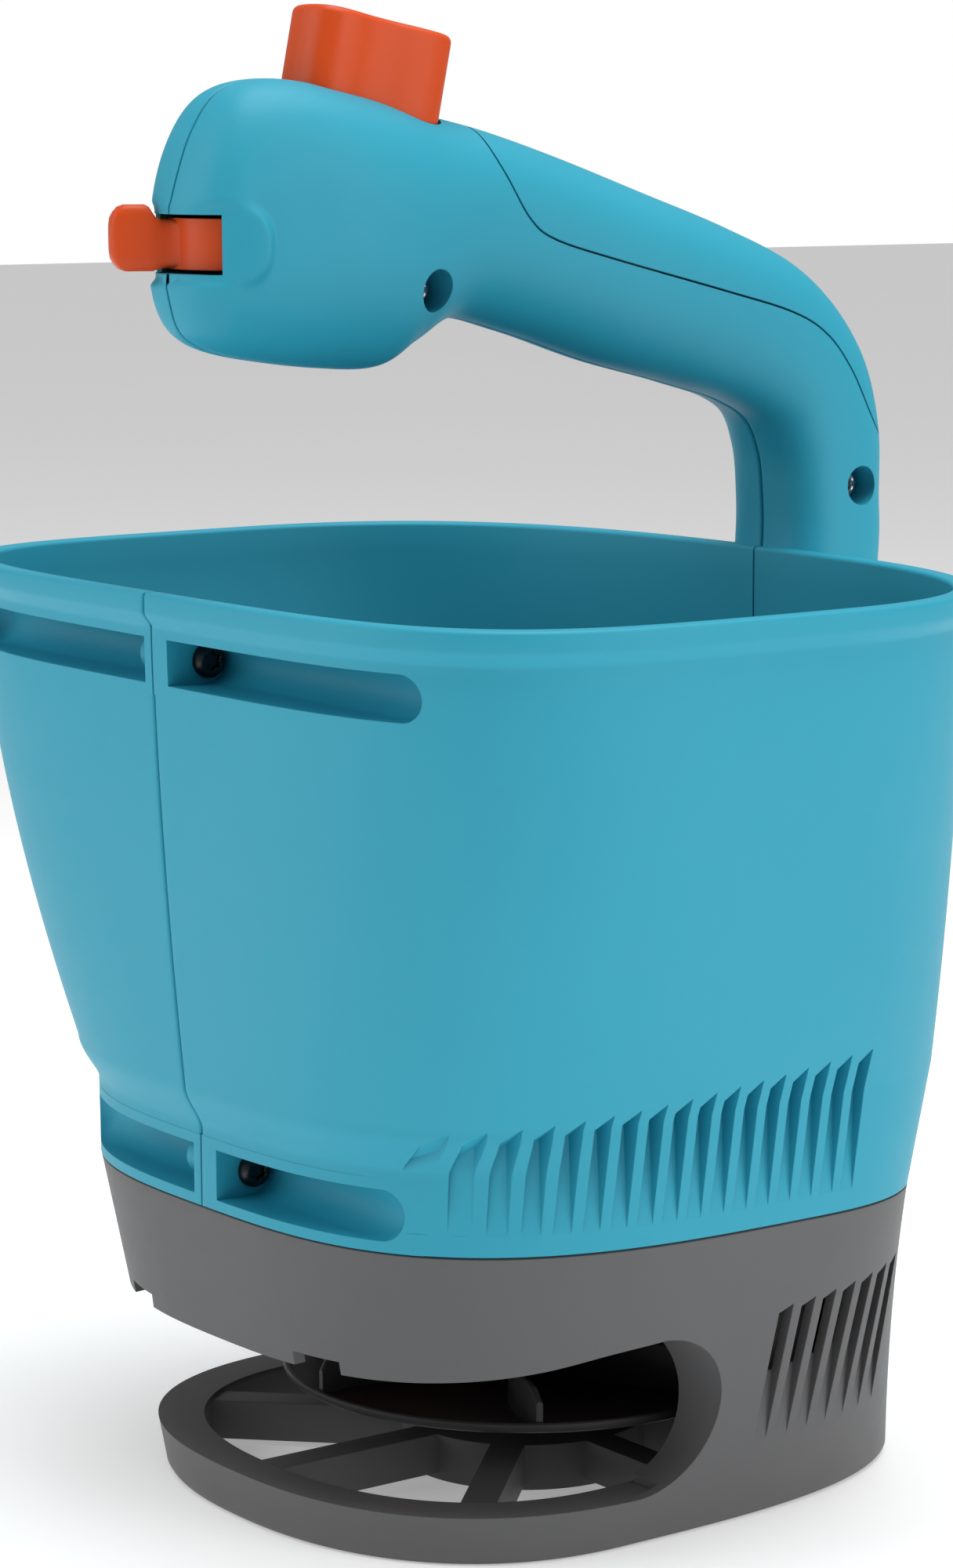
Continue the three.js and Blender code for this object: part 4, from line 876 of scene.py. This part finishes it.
under_floor = FLOOR_TOP - FLOOR_THICK
edge_fit = -WALL - FIT
funnel_outside = funnel_levels(LIP_RADIUS + 2, under_floor, FLOOR_EDGE - FLOOR_THICK, edge_fit)
funnel_inside = funnel_levels(LIP_RADIUS, FLOOR_TOP, FLOOR_EDGE + 0.1, edge_fit - 2)
funnel = whole_loft("funnel", funnel_outside + [(FLOOR_EDGE, JOINT, edge_fit)])
boolean(funnel, whole_loft("funnel_room", funnel_inside))
boolean(funnel, rod("port", PORT_RADIUS, 60, 90, (0, PORT_Y), sides=64))
for side in (-1, 1):
    for x, y in BASE_BOSSES:
        boss_way = BASE_BOSS + BOSS_CLEAR
        boolean(funnel, rod("boss_way", boss_way, 70, 100, (side * x, y), sides=48))
        rib_x = sorted((side * x, side * RIB_REACH))
        boolean(funnel, block("rib_way", rib_x, (y - boss_way, y + boss_way), (70, 100)))
lower = TROUGHS[1]
trough_x, trough_y = lower["end"] + WALL, lower["floor"] + WALL + FIT
boolean(funnel, block("trough_way", (-trough_x, trough_x), (-FAR_OUT, trough_y), (75, 100)))
# Black ABS of the floor, the spinner, the tray and the switch: satin, with a grain that barely shows.
black = grained("black_abs", "#29292A", "#2F2F30", 0.42, strength=0.15)
finish(funnel, black, "frame", "hopper_floor")

RING_Z, RING_THICK, RING_IN, RING_OUT, RING_TRAVEL = 75.4, 2, 22, 54, 44
window_turn = math.radians(90 - RING_TRAVEL)
window_place = (PORT_Y * math.cos(window_turn), PORT_Y * math.sin(window_turn))
doser = rod("dosing_disc", RING_OUT, RING_Z, RING_Z + RING_THICK, sides=160)
boolean(doser, rod("middle", RING_IN, 70, 80, sides=96))
boolean(doser, rod("way", PORT_RADIUS, 70, 80, window_place, sides=64))
finish(doser, orange, "doser", "dosing_ring")

# ---------------------------------------------------------------- motor pod and spinner
# A grey pod hangs the motor under the floor; its shaft carries a black disc with a shallow dish
# and six curved vanes that throws the grain out through the window.


def turned(name, profile, sides=96):
    """A closed solid turned about Z from (radius, z) points that start and end on the axis."""
    turn = np.linspace(0, 2 * np.pi, sides, endpoint=False)
    return loft(name, [np.c_[max(r, 0.01) * np.cos(turn), max(r, 0.01) * np.sin(turn), np.full(sides, z)]
                       for r, z in profile])


POD_PROFILE = [(0, 39), (18.6, 39), (19.6, 39.4), (20, 40.4), (20, 72.6), (27, 72.6), (27, 74.8), (20, 74.8),
               (20, 77.7), (0, 77.7)]
MOTOR_ROOM, NOSE_HOLE, SHAFT_HOLE = 18, 4.6, 1.7
pod = turned("motor_housing", POD_PROFILE)
boolean(pod, rod("motor_room", MOTOR_ROOM, 41, 90, sides=96))
boolean(pod, rod("nose_hole", NOSE_HOLE, 30, 50, sides=48))
boolean(pod, block("wire_slot", (-7, 7), (20.6, 29), (60, 76)))
finish(pod, grey, "frame", "motor_pod")

DISC_RADIUS, DISC_EDGE, DISC_DISH, DISC_THICK, DISC_HUB, HUB_TOP = 61, 25.5, 3, 1.8, 8.5, 34
VANES, VANE_HIGH, VANE_THICK, VANE_SWEEP, VANE_START = 6, 9.5, 1.6, 0.30, 0.04


def dish_at(r):
    """Height of the dish's upper face at radius r."""
    return DISC_EDGE - DISC_DISH * (1 - (r / DISC_RADIUS) ** 2)


dish = [(r, dish_at(r)) for r in np.linspace(DISC_HUB + 2, DISC_RADIUS - 1, 18)]
under = [(r, z - DISC_THICK) for r, z in dish]
# The rim's bead, and the hub with its rounded foot and top, as steps from the edge and the dish.
bead = [(DISC_RADIUS - inward, DISC_EDGE + up) for inward, up in
        ((0.3, -1.5), (0, -0.9), (0, 0.3), (0.4, 0.7), (1.2, 0.7), (1.6, 0.2))]
dish_low = DISC_EDGE - DISC_DISH
disc_hub = [(DISC_HUB + 0.6, dish_low + 0.6), (DISC_HUB, dish_low + 2), (DISC_HUB - 0.8, HUB_TOP - 0.8),
            (DISC_HUB - 1.6, HUB_TOP), (0, HUB_TOP)]
disc = turned("spinner", [(0, under[0][1])] + under + bead + dish[::-1] + disc_hub, 160)
for i in range(VANES):
    reach = np.linspace(DISC_HUB - 2, DISC_RADIUS - 1.2, 20)
    turn = (i / VANES + VANE_START) * 2 * math.pi + VANE_SWEEP * ((reach - DISC_HUB) / DISC_RADIUS) ** 2
    rings = []
    for r, a in zip(reach, turn):
        side_way = np.array([-math.sin(a), math.cos(a)]) * VANE_THICK / 2
        middle = np.array([math.cos(a), math.sin(a)]) * r
        high = DISC_EDGE + VANE_HIGH - 6 * max((r - 0.9 * DISC_RADIUS) / (0.1 * DISC_RADIUS), 0) ** 2
        low = dish_at(r) - 0.8
        section = [(-1, low), (1, low), (1, high - 0.4), (0.4, high), (-0.4, high), (-1, high - 0.4)]
        rings.append([(*(middle + side_way * share), z) for share, z in section])
    boolean(disc, loft("vane", rings), "UNION")
boolean(disc, rod("shaft_hole", SHAFT_HOLE, 10, 50, sides=32))
finish(disc, black, "spinner", "spinner_disc")

# ---------------------------------------------------------------- screws
# Pan-head steel screws with six-lobed recesses: black ones in the front troughs and under the
# base, bright zinc ones in the handle's counterbores.
SCREW_HEAD, SCREW_HIGH, SCREW_SHANK, SCREW_LENGTH, RECESS = 4.1, 2.8, 1.7, 16, 1.9
screw_turn = np.linspace(0, 2 * np.pi, 72, endpoint=False)


def screw(name, length, seat, direction, material, node):
    """A screw whose head sits at seat and points along direction."""
    head = [(SCREW_HEAD - 1.3 + 1.3 * math.cos(a), 0.5 + (SCREW_HIGH - 0.5) * math.sin(a), 0)
            for a in np.linspace(0, np.pi / 2, 8)]
    rows = [(0.05, -length, 0), (0.9, -length, 0), (SCREW_SHANK, -length + 2.0, 0), (SCREW_SHANK, 0, 0),
            (SCREW_HEAD - 0.2, 0, 0), *head, (RECESS + 0.25, SCREW_HIGH, 1), (RECESS, SCREW_HIGH - 0.2, 1),
            (RECESS - 0.1, SCREW_HIGH - 1.2, 1), (0.05, SCREW_HIGH - 1.3, 0)]
    rings = []
    for radius, height, lobed in rows:
        r = radius * (1 + 0.14 * lobed * np.cos(6 * screw_turn))
        rings.append(np.c_[r * np.cos(screw_turn), r * np.sin(screw_turn), np.full(72, height)])
    turn = Vector((0, 0, 1)).rotation_difference(Vector(direction)).to_matrix()
    points = np.array(rings) @ np.array(turn).T + np.array(seat)
    return finish(loft(name, points), material, "frame", node, sharp=40)


WEAR_WIDTH = 1.5 * MM


def metal(name, code, roughness, streak=0.06):
    """A bare or plated metal whose gloss varies a little with wear, in patches WEAR_WIDTH across."""
    material, tree, shader = new_material(name)
    place = [("Vector", add_node(tree, "ShaderNodeTexCoord").outputs["Object"])]
    wear = add_node(tree, "ShaderNodeTexNoise", place, Scale=1 / WEAR_WIDTH, Detail=5.0)
    gloss = add_node(tree, "ShaderNodeMapRange", [("Value", wear.outputs["Fac"])],
                     To_Min=roughness - streak, To_Max=roughness + streak)
    tree.links.new(gloss.outputs["Result"], shader.inputs["Roughness"])
    shader.inputs["Base Color"].default_value = srgb(code)
    shader.inputs["Metallic"].default_value = 1.0
    return material


# Screw steel: oil-blackened, with a dull dark gloss, and zinc-plated, bright and slightly blue.
black_steel = metal("blackened_steel", "#3A3B3D", 0.34)
zinc = metal("zinc_plated_steel", "#B9BCBF", 0.28)
SEAT_GAP = 0.3
for i, spec in enumerate(TROUGHS):
    half = (spec["high"] - spec["low"]) / 2
    seat = (TROUGH_NEAR + SEAT_GAP, spec["floor"] - SCREW_SUNK, spec["low"] + half)
    screw(f"trough_screw_{i + 1}", SCREW_LENGTH + 1, seat, (1, 0, 0), black_steel, f"screw_front_{i + 1}")
for spec, node in zip(SIDE_SCREWS, ("screw_head", "screw_post", "screw_spine_1", "screw_spine_2")):
    screw(f"{node}_shown", SCREW_LENGTH, (SEAT_X + SEAT_GAP, spec["y"], spec["z"]), (1, 0, 0), zinc, node)
for i, (x, y) in enumerate(BASE_BOSSES):
    for side, word in ((-1, "left"), (1, "right")):
        seat = (side * x, y, BASE_BOSS_LOW - SEAT_GAP)
        length = BASE_TOP - BASE_BOSS_LOW + 8
        end = f"{word}_{i + 1}"
        screw(f"base_screw_{end}", length, seat, (0, 0, -1), black_steel, f"screw_base_{end}")

# ---------------------------------------------------------------- inner works
# The pieces under the shells: return spring, switch and carrier, lever pin, tray, contacts, cells,
# motor and shaft. The tray, the switch and its carrier are moulded, so their edges are softened.

# Drawn and ground steel, clean and fairly bright; nickel plate, warmer and glossier; the cells'
# satin metal sleeve, darker; and the motor's drawn steel can.
wire_steel = metal("spring_steel", "#A9ABAD", 0.3)
nickel = metal("nickel_plate", "#C9C4B4", 0.25)
sleeve = metal("cell_sleeve", "#8D9094", 0.38)
can = metal("motor_can_steel", "#9FA2A5", 0.32)
INNER = {
    "return_spring": wire_steel, "lever_pin": wire_steel, "motor_shaft": wire_steel, "motor": can,
    "contact_front": nickel, "contact_rear": nickel, "battery_tray": black, "micro_switch": black,
    "switch_carrier": grey, "cell_left_1": sleeve, "cell_left_2": sleeve, "cell_right_1": sleeve,
    "cell_right_2": sleeve,
}
for name, material in INNER.items():
    node = bpy.data.objects[name]
    node.data.materials.clear()
    node.data.materials.append(material)
    if name in ("battery_tray", "micro_switch", "switch_carrier"):
        soft = node.modifiers.new("soft_edges", "BEVEL")
        soft.width, soft.segments, soft.limit_method = 0.3 * MM, 2, "ANGLE"
    else:
        node.data.shade_smooth()
        node.data.set_sharp_from_angle(angle=math.radians(35))
